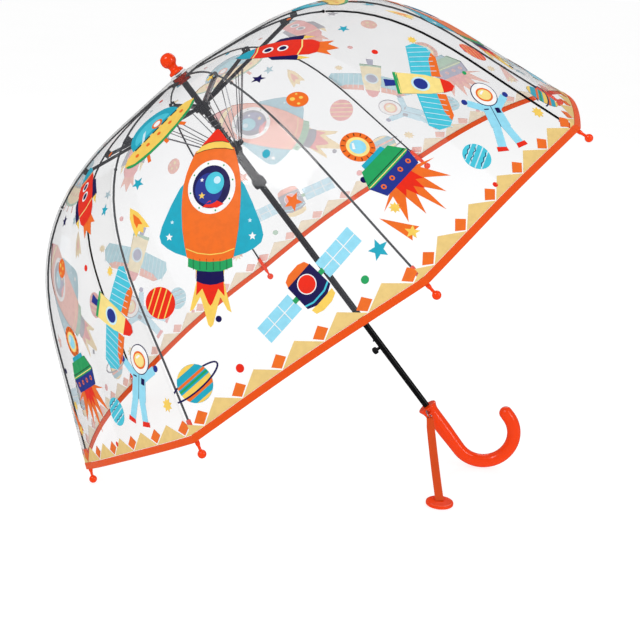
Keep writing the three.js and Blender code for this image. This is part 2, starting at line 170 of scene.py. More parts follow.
def add_node(tree, kind, settings=None, sockets=None):
    """Makes a node, sets it up, then fills its sockets with values or links."""
    made = tree.nodes.new(kind)
    for key, value in (settings or {}).items():
        setattr(made, key, value)
    for key, value in (sockets or {}).items():
        value = getattr(value, "socket", value)
        if isinstance(value, bpy.types.NodeSocket):
            tree.links.new(value, made.inputs[key])
        else:
            made.inputs[key].default_value = value
    return made


def srgb(red, green, blue):
    def linear(c):
        c /= 255
        return c / 12.92 if c <= 0.04045 else ((c + 0.055) / 1.055) ** 2.4

    return (linear(red), linear(green), linear(blue), 1.0)


class Mask:
    """A value in a material, so that sums of masks are written as sums."""

    def __init__(self, graph, socket):
        self.graph, self.socket = graph, socket

    def _math(self, operation, *values):
        sockets = dict(enumerate(values))
        return self.graph.node("ShaderNodeMath", {"operation": operation}, sockets)[0]

    def __add__(self, other):
        return self._math("ADD", self, other)

    __radd__ = __add__

    def __mul__(self, other):
        return self._math("MULTIPLY", self, other)

    __rmul__ = __mul__

    def __sub__(self, other):
        return self._math("SUBTRACT", self, other)

    def __rsub__(self, other):
        return self._math("SUBTRACT", other, self)

    def __pow__(self, other):
        return self._math("POWER", self, other)

    def wave(self):
        """A smooth wave from 0 to 1 whose period is 1."""
        return self._math("SINE", self * math.tau) * 0.5 + 0.5

    def spread(self, low, high):
        """0 below low, 1 above high, and a smooth curve between."""
        sockets = {"Value": self, "From Min": low, "From Max": high}
        return self.graph.node("ShaderNodeMapRange", {"interpolation_type": "SMOOTHSTEP"}, sockets)[0]


class Made:
    """A node that was just made: its outputs by number or name."""

    def __init__(self, graph, node):
        self.graph, self.made = graph, node

    def __getitem__(self, key):
        return Mask(self.graph, self.made.outputs[key])


class Finish:
    """One material, built from its outermost node inwards."""

    def __init__(self, name):
        self.material = bpy.data.materials.new(name)
        self.material.use_nodes = True
        self.tree = self.material.node_tree
        self.tree.nodes.clear()

    def node(self, kind, settings=None, sockets=None):
        return Made(self, add_node(self.tree, kind, settings, sockets))

    def blend(self, mask, a, b):
        return self.node("ShaderNodeMix", {"data_type": "RGBA"}, {0: mask, 6: a, 7: b})[2]

    def coordinates(self):
        return self.node("ShaderNodeTexCoord")["Object"]

    def noise(self, scale, detail, where=None):
        sockets = {"Vector": where or self.coordinates(), "Scale": scale, "Detail": detail}
        return self.node("ShaderNodeTexNoise", None, sockets)[0]

    def along(self, stretch):
        """Object coordinates turned so that z runs up the shaft, then stretched."""
        turn = Matrix((UP_SIDE, ACROSS, AXIS)).to_euler()
        turned = self.node(
            "ShaderNodeVectorRotate", {"rotation_type": "EULER_XYZ"},
            {"Vector": self.coordinates(), "Center": tuple(CROWN), "Rotation": tuple(turn)},
        )["Vector"]
        return self.node("ShaderNodeVectorMath", {"operation": "MULTIPLY"}, {0: turned, 1: stretch})[0]

    def uv(self):
        split = self.node("ShaderNodeSeparateXYZ", None, {0: self.node("ShaderNodeTexCoord")["UV"]})
        return split[0], split[1]

    def bump(self, height, strength, distance):
        sockets = {"Height": height, "Strength": strength, "Distance": distance}
        return self.node("ShaderNodeBump", None, sockets)["Normal"]

    def surface(self, sockets):
        shader = self.node("ShaderNodeBsdfPrincipled", None, sockets)
        self.node("ShaderNodeOutputMaterial", None, {"Surface": shader[0]})
        return self.material


def shade(colour, amount):
    return tuple(c * amount for c in colour[:3]) + (1.0,)


def pale(colour, white=0.54):
    return tuple(c * (1 - white) + white for c in colour[:3]) + (1.0,)


def clear_film():
    """Thin clear vinyl: a grey veil, welds beside the ribs a little denser and painted whiter as a glare
    highlight, faint ripples and smudges.
    """
    f = Finish("clear_film")
    from_rib, _ = f.uv()
    # Weld strips beside the ribs: a little denser film, with a painted glare highlight that makes them
    # whiter.
    weld_and_glare = 1 - from_rib.spread(0.0030, 0.0044)
    ripple = f.noise(16, 2) + f.noise(70, 2) * 0.25
    smudge = f.noise(9, 4).spread(0.42, 0.72)
    edge = f.node("ShaderNodeLayerWeight", None, {"Blend": 0.28})["Facing"] ** 2.2
    veil = 0.085 + smudge * 0.025 + edge * 0.36 + weld_and_glare * 0.05
    return f.surface({
        # Base colour: whiter on the weld strips, a painted glare highlight.
        "Base Color": f.blend(weld_and_glare, srgb(178, 180, 190), srgb(216, 219, 226)),
        "Roughness": 0.05 + smudge * 0.05,
        "Specular IOR Level": 1.0,
        "Coat Weight": 1.0,
        "Coat IOR": 2.1,
        "Coat Roughness": 0.03,
        "Alpha": veil,
        "Normal": f.bump(ripple, 0.5, 0.0012),
    })


def ink(name, colour):
    """Screen ink on vinyl: nearly flat, a fine grain, slightly uneven where it dried."""
    f = Finish(name)
    patch = f.noise(140, 3).spread(0.35, 0.7)
    grain = f.noise(2600, 1)
    return f.surface({
        "Base Color": f.blend(patch * 0.5 + grain * 0.2, colour, shade(colour, 0.86)),
        "Roughness": 0.34 + patch * 0.14,
        "Specular IOR Level": 0.2,
        "Normal": f.bump(grain, 0.12, 0.0002),
    })


def glossy_plastic(name, colour):
    """Polished plastic: soft orange peel, tiny scuffs, a slightly deeper tone in patches."""
    f = Finish(name)
    peel = f.noise(170, 2)
    scuffs = f.noise(1, 4, f.along((900, 900, 60))).spread(0.62, 0.8)
    return f.surface({
        "Base Color": f.blend(f.noise(26, 3) * 0.6 + scuffs * 0.15, colour, shade(colour, 0.84)),
        "Roughness": 0.17 + scuffs * 0.16 + f.noise(60, 2) * 0.06,
        "Specular IOR Level": 0.3,
        "Coat Weight": 0.4,
        "Coat Roughness": 0.04,
        "Normal": f.bump(peel + scuffs * 0.15, 0.1, 0.0007),
    })


def moulded_plastic(name, colour):
    """Satin plastic with a fine spark texture."""
    f = Finish(name)
    spark = f.noise(1900, 2)
    wear = f.noise(120, 4).spread(0.55, 0.75)
    return f.surface({
        "Base Color": f.blend(wear * 0.6, colour, pale(colour, 0.035)),
        "Roughness": 0.36 + spark * 0.14 - wear * 0.08,
        "Specular IOR Level": 0.3,
        "Normal": f.bump(spark, 0.22, 0.0003),
    })


def painted_metal(name, colour):
    """Black paint on steel: a hard gloss with drawn lines along the shaft and dust specks."""
    f = Finish(name)
    drawn = f.noise(1, 3, f.along((1500, 1500, 22)))
    specks = f.noise(900, 1).spread(0.7, 0.76)
    return f.surface({
        "Base Color": f.blend(drawn.spread(0.5, 0.8) * 0.5 + specks * 0.4, colour, pale(colour, 0.05)),
        "Roughness": 0.18 + drawn * 0.12 + specks * 0.2,
        "Specular IOR Level": 0.15,
        "Coat Weight": 0.18,
        "Coat Roughness": 0.06,
        "Normal": f.bump(drawn, 0.1, 0.0003),
    })


def drawn_steel(name, colour):
    """Nickelled spring steel, with fine lines and a few dull patches."""
    f = Finish(name)
    lines = f.noise(1, 3, f.along((2600, 2600, 240)))
    dull = f.noise(240, 3).spread(0.5, 0.75)
    return f.surface({
        "Base Color": f.blend(dull * 0.7, colour, shade(colour, 0.72)),
        "Metallic": 1.0,
        "Roughness": 0.2 + lines * 0.12 + dull * 0.16,
        "Normal": f.bump(lines, 0.15, 0.0002),
    })


WARP, WEFT, CORDING = 0.0007, 0.0009, 0.0014


def woven_tape(name, colour, ribbed=0.0):
    """Narrow woven tape: over-and-under threads on the piece's own map, with painted shade where the threads
    dip.
    """
    f = Finish(name)
    u, v = f.uv()
    over = (u * (1 / WEFT)).wave()
    under = (v * (1 / WARP)).wave()
    thread = over * under + (1 - over) * (1 - under)
    rib = (u * (1 / CORDING)).wave() * ribbed
    fuzz = f.noise(1500, 3)
    height = thread + rib * 1.6 + fuzz * 0.3
    return f.surface({
        # Base colour: painted shade, darker where the weave's threads dip, plus a random tone.
        "Base Color": f.blend(thread * 0.55 + f.noise(70, 3) * 0.3, shade(colour, 0.78), colour),
        "Roughness": 0.52 + fuzz * 0.22,
        "Specular IOR Level": 0.18,
        "Sheen Weight": 0.06,
        "Sheen Roughness": 0.4,
        "Normal": f.bump(height, 0.45, 0.00035),
    })


def sewing_thread(name, colour):
    f = Finish(name)
    twist = f.noise(3000, 2)
    return f.surface({
        "Base Color": f.blend(twist, shade(colour, 0.8), colour),
        "Roughness": 0.5 + twist * 0.2,
        "Normal": f.bump(twist, 0.3, 0.0002),
    })


def studio_floor():
    f = Finish("studio_floor")
    cloud = f.noise(3, 3)
    return f.surface({
        "Base Color": f.blend(cloud, (0.3, 0.3, 0.3, 1), (0.32, 0.32, 0.32, 1)),
        "Roughness": 0.75 + cloud * 0.1,
        "Emission Color": (1, 1, 1, 1),
        "Emission Strength": 0.79,
    })


INKS = {
    "orange": srgb(243, 112, 33),
    "red": srgb(238, 40, 15),
    "teal": srgb(28, 170, 195),
    "cyan": srgb(70, 200, 222),
    "sky": srgb(150, 222, 245),
    "ice": srgb(205, 238, 250),
    "navy": srgb(22, 14, 85),
    "blue": srgb(34, 52, 145),
    "yellow": srgb(250, 210, 95),
    "butter": srgb(253, 228, 140),
    "sand": srgb(238, 205, 130),
    "green": srgb(35, 165, 95),
    "white": srgb(250, 250, 250),
    "line": srgb(30, 26, 40),
}
INK_NAMES = list(INKS)
FRONT_INKS = [ink("ink_" + name, colour) for name, colour in INKS.items()]
BACK_INKS = [ink("back_of_ink_" + name, pale(colour)) for name, colour in INKS.items()]
CLEAR = clear_film()
HANDLE_ORANGE = glossy_plastic("orange_plastic", srgb(255, 66, 4))
TAPE = woven_tape("orange_tape", srgb(253, 88, 10))
RIBBON = woven_tape("orange_ribbon", srgb(244, 84, 24), ribbed=1.0)
THREAD = sewing_thread("orange_thread", srgb(255, 112, 40))
SHAFT_BLACK = painted_metal("black_metal", srgb(7, 7, 9))
PART_BLACK = moulded_plastic("black_plastic", srgb(12, 12, 15))
STEEL = drawn_steel("steel", srgb(196, 198, 204))
MILKY = moulded_plastic("milky_plastic", srgb(226, 229, 233))

# ---- meshes


def new_piece(name, mesh, materials):
    piece = bpy.data.objects.new(name, mesh)
    bpy.context.scene.collection.objects.link(piece)
    for material in materials:
        mesh.materials.append(material)
    return piece


def settle(piece, body, slot, *nodes):
    """Fixes a piece to its body, where it stands in for the nodes that are named."""
    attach(piece, body)
    if nodes:
        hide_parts(*nodes)
    return piece


def smooth_mesh(name, bm, sharp=None):
    mesh = bpy.data.meshes.new(name)
    bm.to_mesh(mesh)
    bm.free()
    mesh.shade_smooth()
    if sharp:
        mesh.set_sharp_from_angle(angle=math.radians(sharp))
    return mesh


def running_length(points):
    """The length so far at each point, and all round back to the first."""
    lengths = [0.0]
    for a, b in zip(points, points[1:] + points[:1]):
        lengths.append(lengths[-1] + (Vector(a) - Vector(b)).length)
    return lengths


def loft_into(bm, rings, looped=False):
    """A skin over rings of points. Its ends are closed, or joined to each other if it is looped."""
    uv_layer = bm.loops.layers.uv.verify()
    rows = [[bm.verts.new(p) for p in ring] for ring in rings]
    count = len(rows[0])
    across, along = running_length(rings[0]), running_length([ring[0] for ring in rings])
    for i in range(len(rows) if looped else len(rows) - 1):
        here, there = rows[i], rows[(i + 1) % len(rows)]
        for j in range(count):
            k = (j + 1) % count
            face = bm.faces.new((here[j], here[k], there[k], there[j]))
            corners = ((i, j), (i, j + 1), (i + 1, j + 1), (i + 1, j))
            for loop, (a, b) in zip(face.loops, corners):
                loop[uv_layer].uv = (along[a], across[b])
    if not looped:
        for row in (rows[0], rows[-1]):
            bm.faces.new(row)


def loft(name, rings, material, sharp, looped=False):
    bm = bmesh.new()
    loft_into(bm, rings, looped)
    bmesh.ops.recalc_face_normals(bm, faces=bm.faces)
    return new_piece(name, smooth_mesh(name, bm, sharp), [material])


def ring_of(centre, east, north, r, sides):
    return [
        centre + (east * math.cos(a) + north * math.sin(a)) * r
        for a in (math.tau * i / sides for i in range(sides))
    ]


def rounded(profile, passes=2):
    """Cuts the corners of an open profile of (radius, height) pairs."""
    near, far = 0.78, 0.22
    for _ in range(passes):
        cut = [profile[0]]
        for (r0, z0), (r1, z1) in zip(profile, profile[1:]):
            cut += [(r0 * near + r1 * far, z0 * near + z1 * far),
                    (r0 * far + r1 * near, z0 * far + z1 * near)]
        profile = cut + [profile[-1]]
    return profile


def turned_rings(profile, origin=CROWN, axis=AXIS, sides=56):
    """Rings of a lathed form. Its profile is (radius, height) in millimetres along the axis."""
    east = axis.orthogonal().normalized() if axis != AXIS else UP_SIDE
    north = axis.cross(east)
    return [ring_of(origin + axis * (z * MM), east, north, max(r, 0.02) * MM, sides) for r, z in profile]


def turned(name, profile, material, looped=False, sharp=32, **where):
    return loft(name, turned_rings(profile, **where), material, sharp, looped)


# ---- geometry nodes


class Rule:
    """A geometry node tree with named inputs, run on a piece and then made a plain mesh."""

    def __init__(self, name, inputs):
        self.tree = bpy.data.node_groups.new(name, "GeometryNodeTree")
        self.tree.interface.new_socket("Geometry", in_out="INPUT", socket_type="NodeSocketGeometry")
        for label, kind in inputs.items():
            self.tree.interface.new_socket(label, in_out="INPUT", socket_type=kind)
        self.tree.interface.new_socket("Geometry", in_out="OUTPUT", socket_type="NodeSocketGeometry")
        self.given = self.tree.nodes.new("NodeGroupInput").outputs

    def node(self, kind, settings=None, sockets=None):
        return add_node(self.tree, kind, settings, sockets).outputs

    def ends_in(self, geometry, material):
        real = self.node("GeometryNodeRealizeInstances", None, {0: geometry})[0]
        done = self.node("GeometryNodeSetMaterial", None, {"Geometry": real, "Material": material})[0]
        self.node("NodeGroupOutput", None, {0: done})

    def run(self, base, values):
        """The mesh that the tree makes from the base mesh."""
        holder = bpy.data.objects.new("holder", base)
        bpy.context.scene.collection.objects.link(holder)
        modifier = holder.modifiers.new("rule", "NODES")
        modifier.node_group = self.tree
        ids = {s.name: s.identifier for s in self.tree.interface.items_tree if s.in_out == "INPUT"}
        for label, value in values.items():
            modifier[ids[label]] = value
        made = bpy.data.meshes.new_from_object(
            holder.evaluated_get(bpy.context.evaluated_depsgraph_get()))
        holder.modifiers.remove(modifier)
        bpy.data.objects.remove(holder)
        return made


def stitching_rule():
    """Short stitches laid end to end along a line of edges."""
    rule = Rule("stitching", {
        "Pitch": "NodeSocketFloat", "Length": "NodeSocketFloat", "Thickness": "NodeSocketFloat",
        "Thread": "NodeSocketMaterial",
    })
    line = rule.node("GeometryNodeMeshToCurve", None, {0: rule.given["Geometry"]})[0]
    even = rule.node(
        "GeometryNodeResampleCurve", {"mode": "LENGTH"}, {"Curve": line, "Length": rule.given["Pitch"]})[0]
    tangent = rule.node("GeometryNodeInputTangent")[0]
    turn = rule.node("FunctionNodeAlignRotationToVector", {"axis": "Z"}, {"Vector": tangent})[0]
    bead = rule.node("GeometryNodeMeshUVSphere", None, {"Segments": 6, "Rings": 4, "Radius": 0.5})[0]
    size = rule.node("ShaderNodeCombineXYZ", None, {
        0: rule.given["Thickness"], 1: rule.given["Thickness"], 2: rule.given["Length"]})[0]
    laid = rule.node("GeometryNodeInstanceOnPoints", None, {
        "Points": even, "Instance": bead, "Rotation": turn, "Scale": size})[0]
    rule.ends_in(laid, rule.given["Thread"])
    return rule


def coil_rule():
    """A round wire wound into a spring standing on the origin."""
    rule = Rule("coil", {
        "Turns": "NodeSocketFloat", "Radius": "NodeSocketFloat", "Height": "NodeSocketFloat",
        "Wire": "NodeSocketFloat", "Metal": "NodeSocketMaterial",
    })
    spiral = rule.node("GeometryNodeCurveSpiral", None, {
        "Resolution": 40, "Rotations": rule.given["Turns"], "Start Radius": rule.given["Radius"],
        "End Radius": rule.given["Radius"], "Height": rule.given["Height"]})[0]
    section = rule.node(
        "GeometryNodeCurvePrimitiveCircle", None, {"Resolution": 10, "Radius": rule.given["Wire"]})[0]
    wire = rule.node("GeometryNodeCurveToMesh", None, {
        "Curve": spiral, "Profile Curve": section, "Fill Caps": True})[0]
    rule.ends_in(wire, rule.given["Metal"])
    return rule


STITCHING = stitching_rule()
COIL = coil_rule()


def stitches(points, pitch=3.0, length=2.3, thickness=0.42):
    line = bpy.data.meshes.new("line")
    line.from_pydata([tuple(p) for p in points], [(i, i + 1) for i in range(len(points) - 1)], [])
    return STITCHING.run(line, {
        "Pitch": pitch * MM, "Length": length * MM, "Thickness": thickness * MM, "Thread": THREAD})


def add_mesh(piece, mesh, material):
    """Adds a mesh to a piece, as its next material."""
    bm = bmesh.new()
    bm.from_mesh(piece.data)
    before = len(bm.faces)
    bm.from_mesh(mesh)
    bm.faces.ensure_lookup_table()
    index = len(piece.data.materials)
    for face in bm.faces[before:]:
        face.material_index = index
        face.smooth = True
    bm.to_mesh(piece.data)
    bm.free()
    piece.data.materials.append(material)


# ---- printed artwork


class Spot:
    """A place on a panel to print at: its own across and up, turned and sized."""

    def __init__(self, shapes, across, down, turn=0.0, size=1.0):
        self.shapes, self.across, self.down = shapes, across, down
        self.c, self.s = size * math.cos(math.radians(turn)), size * math.sin(math.radians(turn))

    def at(self, a, b):
        return (self.across + a * self.c - b * self.s, self.down - a * self.s - b * self.c)

    def shape(self, colour, points, layer):
        self.shapes.append((INK_NAMES.index(colour), [self.at(*p) for p in points], layer))

    def both(self, colour, half, layer=0):
        """A shape that is the same left and right, from (half width, up) pairs."""
        self.shape(colour, half + [(-w, b) for w, b in reversed(half) if w > 0], layer)

    def disc(self, colour, a, b, r, layer=0, tall=None, start=0, end=360, sides=30):
        tall = r if tall is None else tall
        last = sides + (end - start < 360)
        turns = [math.radians(start + (end - start) * i / sides) for i in range(last)]
        self.shape(colour, [(a + r * math.cos(t), b + tall * math.sin(t)) for t in turns], layer)

    def star(self, colour, a, b, r, layer=0, points=5, inner=0.45, tilt=90):
        turns = [math.radians(tilt + 180 * i / points) for i in range(2 * points)]
        reach = [r, r * inner] * points
        tips = [(a + d * math.cos(t), b + d * math.sin(t)) for d, t in zip(reach, turns)]
        self.shape(colour, tips, layer)

    def line(self, colour, path, width, layer):
        for (a0, b0), (a1, b1) in zip(path, path[1:]):
            long = math.hypot(a1 - a0, b1 - b0)
            x, y = (b0 - b1) / long * width / 2, (a1 - a0) / long * width / 2
            strip = [(a0 + x, b0 + y), (a1 + x, b1 + y), (a1 - x, b1 - y), (a0 - x, b0 - y)]
            self.shape(colour, strip, layer)

    def bow(self, colour, half, width, layer):
        """A line that is the same left and right, from its middle point outwards."""
        self.line(colour, [(-a, b) for a, b in reversed(half[1:])] + half, width, layer)

    def chord(self, colour, r, offset, tilt, width, layer):
        """A straight stripe across a disc at the spot."""
        reach = math.sqrt(max(r * r - offset * offset, 0)) - width * 0.3
        c, s = math.cos(math.radians(tilt)), math.sin(math.radians(tilt))
        ends = [(t * c - offset * s, t * s + offset * c) for t in (-reach, reach)]
        self.line(colour, ends, width, layer)


def big_rocket(shapes):
    m = Spot(shapes, 49, 253, turn=-33, size=0.93)
    for side in (-1, 1):
        m.shape("teal", [(side * a, b) for a, b in (
            (33, -60), (40, -68), (50, -88), (60, -112), (62.5, -123), (60, -131), (52, -137),
            (42, -142), (28, -146), (30, -100))], 0)
        m.star("white", side * 50, -124, 4.6, 1)
        m.star("ice", side * 47, -107, 2.6, 1)
    m.both("yellow", [(17.5, -158), (15.5, -170), (25, -207), (20, -204), (12, -190), (9, -199),
                      (3, -221), (0, -224)], 0)
    m.both("red", [(15.5, -168), (17, -189), (9.5, -181), (2.5, -197), (0, -200)], 1)
    m.both("navy", [(15.5, -156), (16.6, -173), (8, -176), (0, -177)], 2)
    m.both("green", [(26, -145), (26.5, -157), (14, -161.5), (0, -162.5)], 3)
    for a in (-20, -12, -4, 4, 12, 20):
        m.line("line", [(a, -148), (a, -160.5)], 0.5, 4)
    m.both("orange", [(0, -17), (10, -18.5), (24.5, -25), (29.5, -38), (33, -50), (35.4, -64), (36, -78),
                      (35.4, -95), (33.8, -115), (30.5, -134), (27.5, -147), (14, -150.5), (0, -151.5)], 4)
    m.both("yellow", [(0, -15), (9, -15.8), (17.6, -18.5), (24.5, -27.5), (13, -24.5), (0, -23.5)], 5)
    m.both("red", [(0, 0), (3, -1.6), (10, -9.5), (18, -18.5), (9, -16), (0, -15)], 6)
    m.bow("line", [(0, -15.2), (9, -16), (17.6, -18.7)], 0.6, 7)
    m.bow("line", [(0, -23.6), (13, -24.7), (24.7, -27.7)], 0.6, 7)
    m.bow("yellow", [(0, -143.6), (15, -142), (29, -137)], 1.1, 5)
    m.disc("white", 0, -68, 29.3, 5, tall=30.6, sides=44)
    m.disc("navy", 0, -68, 23.2, 6, tall=24.4, sides=40)
    m.disc("blue", -3, -70, 17, 7, tall=18)
    m.disc("cyan", 4, -64, 11.5, 8, tall=12.5)
    m.disc("ice", 7, -61, 4.2, 9)
    m.star("yellow", -11, -78, 4.2, 8)
    m.star("white", -12, -60, 2.6, 8)
    m.shape("red", [(-10, -91), (-2, -84), (8, -84), (16, -88), (8, -92)], 7)
    for i in range(8):
        t = math.tau * (i + 0.3) / 8
        m.disc("green", 26.4 * math.cos(t), -68 + 27.6 * math.sin(t), 1.05, 6, sides=10)


def saucer(shapes):
    m = Spot(shapes, -15, 198, turn=17, size=1.06)
    for a, tilt in ((-24, -24), (22, 24), (0, 0)):
        m.line("orange", [(a, -15), (a + tilt * 0.16, -24)], 4, 0)
    m.disc("teal", 0, 7, 33, 1, tall=38, end=180)
    m.disc("cyan", -2, 10, 25, 2, tall=25, start=8, end=172)
    m.shape("ice", [(-20, 9), (-12, 22), (-7, 24), (-16, 9)], 3)
    m.disc("orange", 6, 17, 7, 3)
    m.disc("white", 6, 17, 4.4, 4)
    m.disc("green", 0, -2, 50, 2, tall=15, start=180, end=360)
    m.shape("yellow", [(-51, 0), (-42, 7), (-33, 9), (33, 9), (42, 7), (51, 0), (40, -8), (20, -12.5),
                       (0, -14), (-20, -12.5), (-40, -8)], 4)
    for a in (-26, -13, 0, 13, 26):
        m.line("line", [(a - 4.5, 8), (a + 4.5, 8)], 2.2, 5)
        m.disc("orange", a * 1.25, -1.5, 2.4, 5, sides=14)


def satellite(shapes):
    m = Spot(shapes, 47, 450, turn=13)
    for side in (-1, 1):
        m.shape("sky", [(side * 21, 10.5), (side * 68, 10.5), (side * 68, -10.5), (side * 21, -10.5)], 0)
        m.line("white", [(side * 21, 0), (side * 68, 0)], 0.9, 1)
        for a in (36.5, 52):
            m.line("white", [(side * a, -10.5), (side * a, 10.5)], 0.9, 1)
        m.shape("green", [(side * 15, 2.6), (side * 22, 2.6), (side * 22, -2.6), (side * 15, -2.6)], 2)
    m.shape("orange", [(-16, 14), (-14, 20), (-7, 23), (7, 23), (14, 20), (16, 14)], 2)
    m.shape("yellow", [(-15, -19), (15, -19), (14, -25), (6, -28), (-6, -28), (-14, -25)], 2)
    m.shape("navy", [(-16.5, 14.5), (16.5, 14.5), (17, -15), (8, -19.5), (-8, -19.5), (-17, -15)], 3)
    m.line("cyan", [(-16.8, -11.5), (-8, -15), (8, -15), (16.8, -11.5)], 1.8, 4)
    m.disc("white", 0, 2.5, 10.2, 4)
    m.disc("red", 0, 2.5, 9.2, 5)


def striped_planet(shapes, across, down, r, colour, stripe, tilt):
    m = Spot(shapes, across, down)
    m.disc(colour, 0, 0, r, 0)
    for offset in (-0.55, -0.15, 0.25, 0.62):
        m.chord(stripe, r, offset * r, tilt, 0.05 * r + 0.5, 1)


def ringed_planet(shapes):
    m = Spot(shapes, -112, 467, turn=8)
    turns = [math.pi * i / 16 for i in range(17)]
    m.line("navy", [(34 * math.cos(t), 1 + 8.6 * math.sin(t)) for t in turns], 1.9, 0)
    m.disc("teal", 0, 0, 20.5, 1)
    for colour, low, high in (("yellow", 15.5, 20), ("orange", 5, 8), ("green", 1, 3.4),
                              ("yellow", -6.5, -1), ("orange", -11, -7), ("yellow", -19.9, -17)):
        edge = [(math.sqrt(20.4 ** 2 - b * b), b) for b in (high, (high + low) / 2, low)]
        m.both(colour, edge, 2)
    m.line("navy", [(34 * math.cos(t), 1 - 8.6 * math.sin(t)) for t in turns], 1.9, 3)


def plane(shapes, shift):
    m = Spot(shapes, 41 + shift, 364, turn=-42)
    for side in (-1, 1):
        wing = [(-12, 12), (-7, 55), (4, 60), (17, 55), (24, 42), (22, 12)]
        edge = [(12, 12), (15, 36), (21, 47), (25, 40), (23, 12)]
        m.shape("cyan", [(a, side * b) for a, b in wing], 0)
        m.shape("orange", [(a, side * b) for a, b in edge], 1)
        for i in range(6):
            b = side * (17 + 7 * i)
            m.line("ice", [(-10 + 0.7 * i, b), (20, b + side * 3)], 0.8, 2)
    m.shape("blue", [(-45, 5), (-45, -5), (-31, -3.4), (-31, 3.4)], 1)
    m.shape("green", [(-33, 15), (-28.5, 15), (-28.5, -15), (-33, -15)], 3)
    m.shape("butter", [(-30, 14.5), (4, 13), (22, 9), (22, -9), (4, -13), (-30, -14.5)], 3)
    m.shape("red", [(21, 10), (32, 6), (36, 0), (32, -6), (21, -10)], 4)
    m.disc("ice", -4, 0, 10.8, 4, tall=9.6)
    m.disc("blue", -4, 0, 8.2, 5, tall=7.4)


def lander(shapes, shift):
    m = Spot(shapes, -77 + shift, 392, turn=5)
    flame = []
    for i in range(13):
        t = math.radians(205 + 130 * i / 12)
        d = (74 if i % 4 == 2 else 66) if i % 2 == 0 else 40
        flame.append((d * 0.74 * math.cos(t), -14 + d * 0.95 * math.sin(t)))
    m.shape("orange", [(-19, -30)] + flame + [(19, -30)], 0)
    m.shape("red", [(-13, -30), (-15, -46), (-8, -41), (-5, -54), (0, -44), (6, -54), (8, -41), (15, -46),
                    (13, -30)], 1)
    m.disc("orange", 0, 24, 17.5, 0, tall=18)
    m.disc("butter", 0, 24, 11.5, 1, tall=12)
    m.disc("sky", 0, 24, 8.4, 2)
    m.shape("white", [(-6, 26), (-1, 31), (1, 30), (-4, 24)], 3)
    for i in range(14):
        t = math.tau * i / 14
        m.line("line", [(13 * math.cos(t), 24 + 13.4 * math.sin(t)),
                        (16.6 * math.cos(t), 24 + 17 * math.sin(t))], 0.8, 3)
    m.shape("teal", [(-16, 8), (16, 8), (18, -2), (-18, -2)], 2)
    m.both("green", [(22, 3), (33, -14), (28, -16), (0, -16)], 4)
    m.both("blue", [(33, -13.5), (27, -32), (0, -32)], 3)
    m.line("line", [(-31, -11), (31, -11)], 0.8, 5)
    m.line("butter", [(-31.5, -14), (31.5, -14)], 1.0, 5)
    for a in (-21, -7, 7, 21):
        m.disc("orange", a, -23, 2.9, 4, sides=16)
        m.disc("blue", a, -23, 1.3, 5, sides=10)


def astronaut(shapes, shift):
    m = Spot(shapes, 86 + shift, 420, turn=-32)
    for start, end, width in (((-8, -15), (-27, -6), 9), ((8, -15), (25, 0), 9),
                              ((-5, -36), (-11, -66), 10.5), ((5, -36), (13, -63), 10.5)):
        m.line("sky", [start, end], width, 0)
    m.disc("blue", -30, -4.5, 3.6, 1, sides=14)
    m.disc("blue", 27.5, 2, 3.6, 1, sides=14)
    m.shape("red", [(-18, -65), (-6, -66), (-5, -71), (-19, -71)], 1)
    m.shape("red", [(8, -63), (20, -60), (22, -65), (8, -69)], 1)
    m.shape("sky", [(-11, -10), (11, -10), (13, -40), (-12, -40)], 1)
    m.line("navy", [(0, -11), (0, -40)], 0.8, 2)
    m.shape("navy", [(4, -15), (10, -15), (10, -22), (4, -22)], 2)
    m.line("navy", [(-10, -16), (-4, -16)], 1.6, 2)
    m.disc("navy", 0, 4, 16.2, 2, sides=34)
    m.disc("white", 0, 4, 15.2, 3, sides=34)
    m.disc("orange", 0, 3.4, 10.6, 4, tall=9.4)
    m.disc("butter", 0, 3.4, 8.4, 5, tall=7.2)
    m.shape("white", [(-6, 5), (-1, 9), (1.5, 8.4), (-4, 3.4)], 6)


def little_rocket(shapes, shift):
    m = Spot(shapes, -16 + shift, 209, turn=29, size=1.2)
    for side in (-1, 1):
        m.shape("navy", [(side * 12, 8), (side * 19, 2), (side * 21, -22), (side * 12, -20)], 0)
        m.shape("yellow", [(side * 14, -21), (side * 20, -21), (side * 17, -32)], 0)
    m.both("orange", [(8, -36), (11, -50), (5, -45), (0, -56)], 0)
    m.both("red", [(0, 42), (7, 33), (13, 14), (14, -10), (12, -30), (8, -37), (0, -38)], 1)
    m.both("teal", [(0, 42), (7, 33), (10, 24.5), (0, 23)], 2)
    m.bow("butter", [(0, 20.6), (10.5, 22)], 1.4, 2)
    for b in (10, -4):
        m.disc("white", 0, b, 5.2, 2, sides=20)
        m.disc("navy", 0, b, 3.4, 3, sides=18)
    m.bow("butter", [(0, -22), (13, -20)], 1.4, 2)


def rocket_panel():
    shapes = []
    big_rocket(shapes)
    saucer(shapes)
    satellite(shapes)
    striped_planet(shapes, -99, 377, 17, "red", "yellow", 38)
    ringed_planet(shapes)
    Spot(shapes, 125, 462).star("teal", 0, 0, 11, tilt=80)
    Spot(shapes, -58, 247).star("teal", 0, 0, 8, tilt=100)
    Spot(shapes, 60, 165).star("yellow", 0, 0, 6)
    Spot(shapes, 79, 371).star("orange", 0, 0, 10, tilt=105)
    flame = Spot(shapes, -77, 288, turn=2)
    flame.both("yellow", [(0, 20), (6, 9), (8.5, -3), (9.5, -14), (3.5, -10), (0, -15)])
    flame.both("orange", [(0, 11), (3.6, 2), (4, -6), (0, -3)], 1)
    for a, v, r, colour in ((98, 478, 4.2, "green"), (-60, 479, 4.6, "red"), (81, 313, 4.4, "teal"),
                            (-8, 120, 3, "red"), (16, 108, 2.6, "teal"), (-52, 425, 3.4, "navy")):
        Spot(shapes, a, v).disc(colour, 0, 0, r, sides=20)
    return shapes


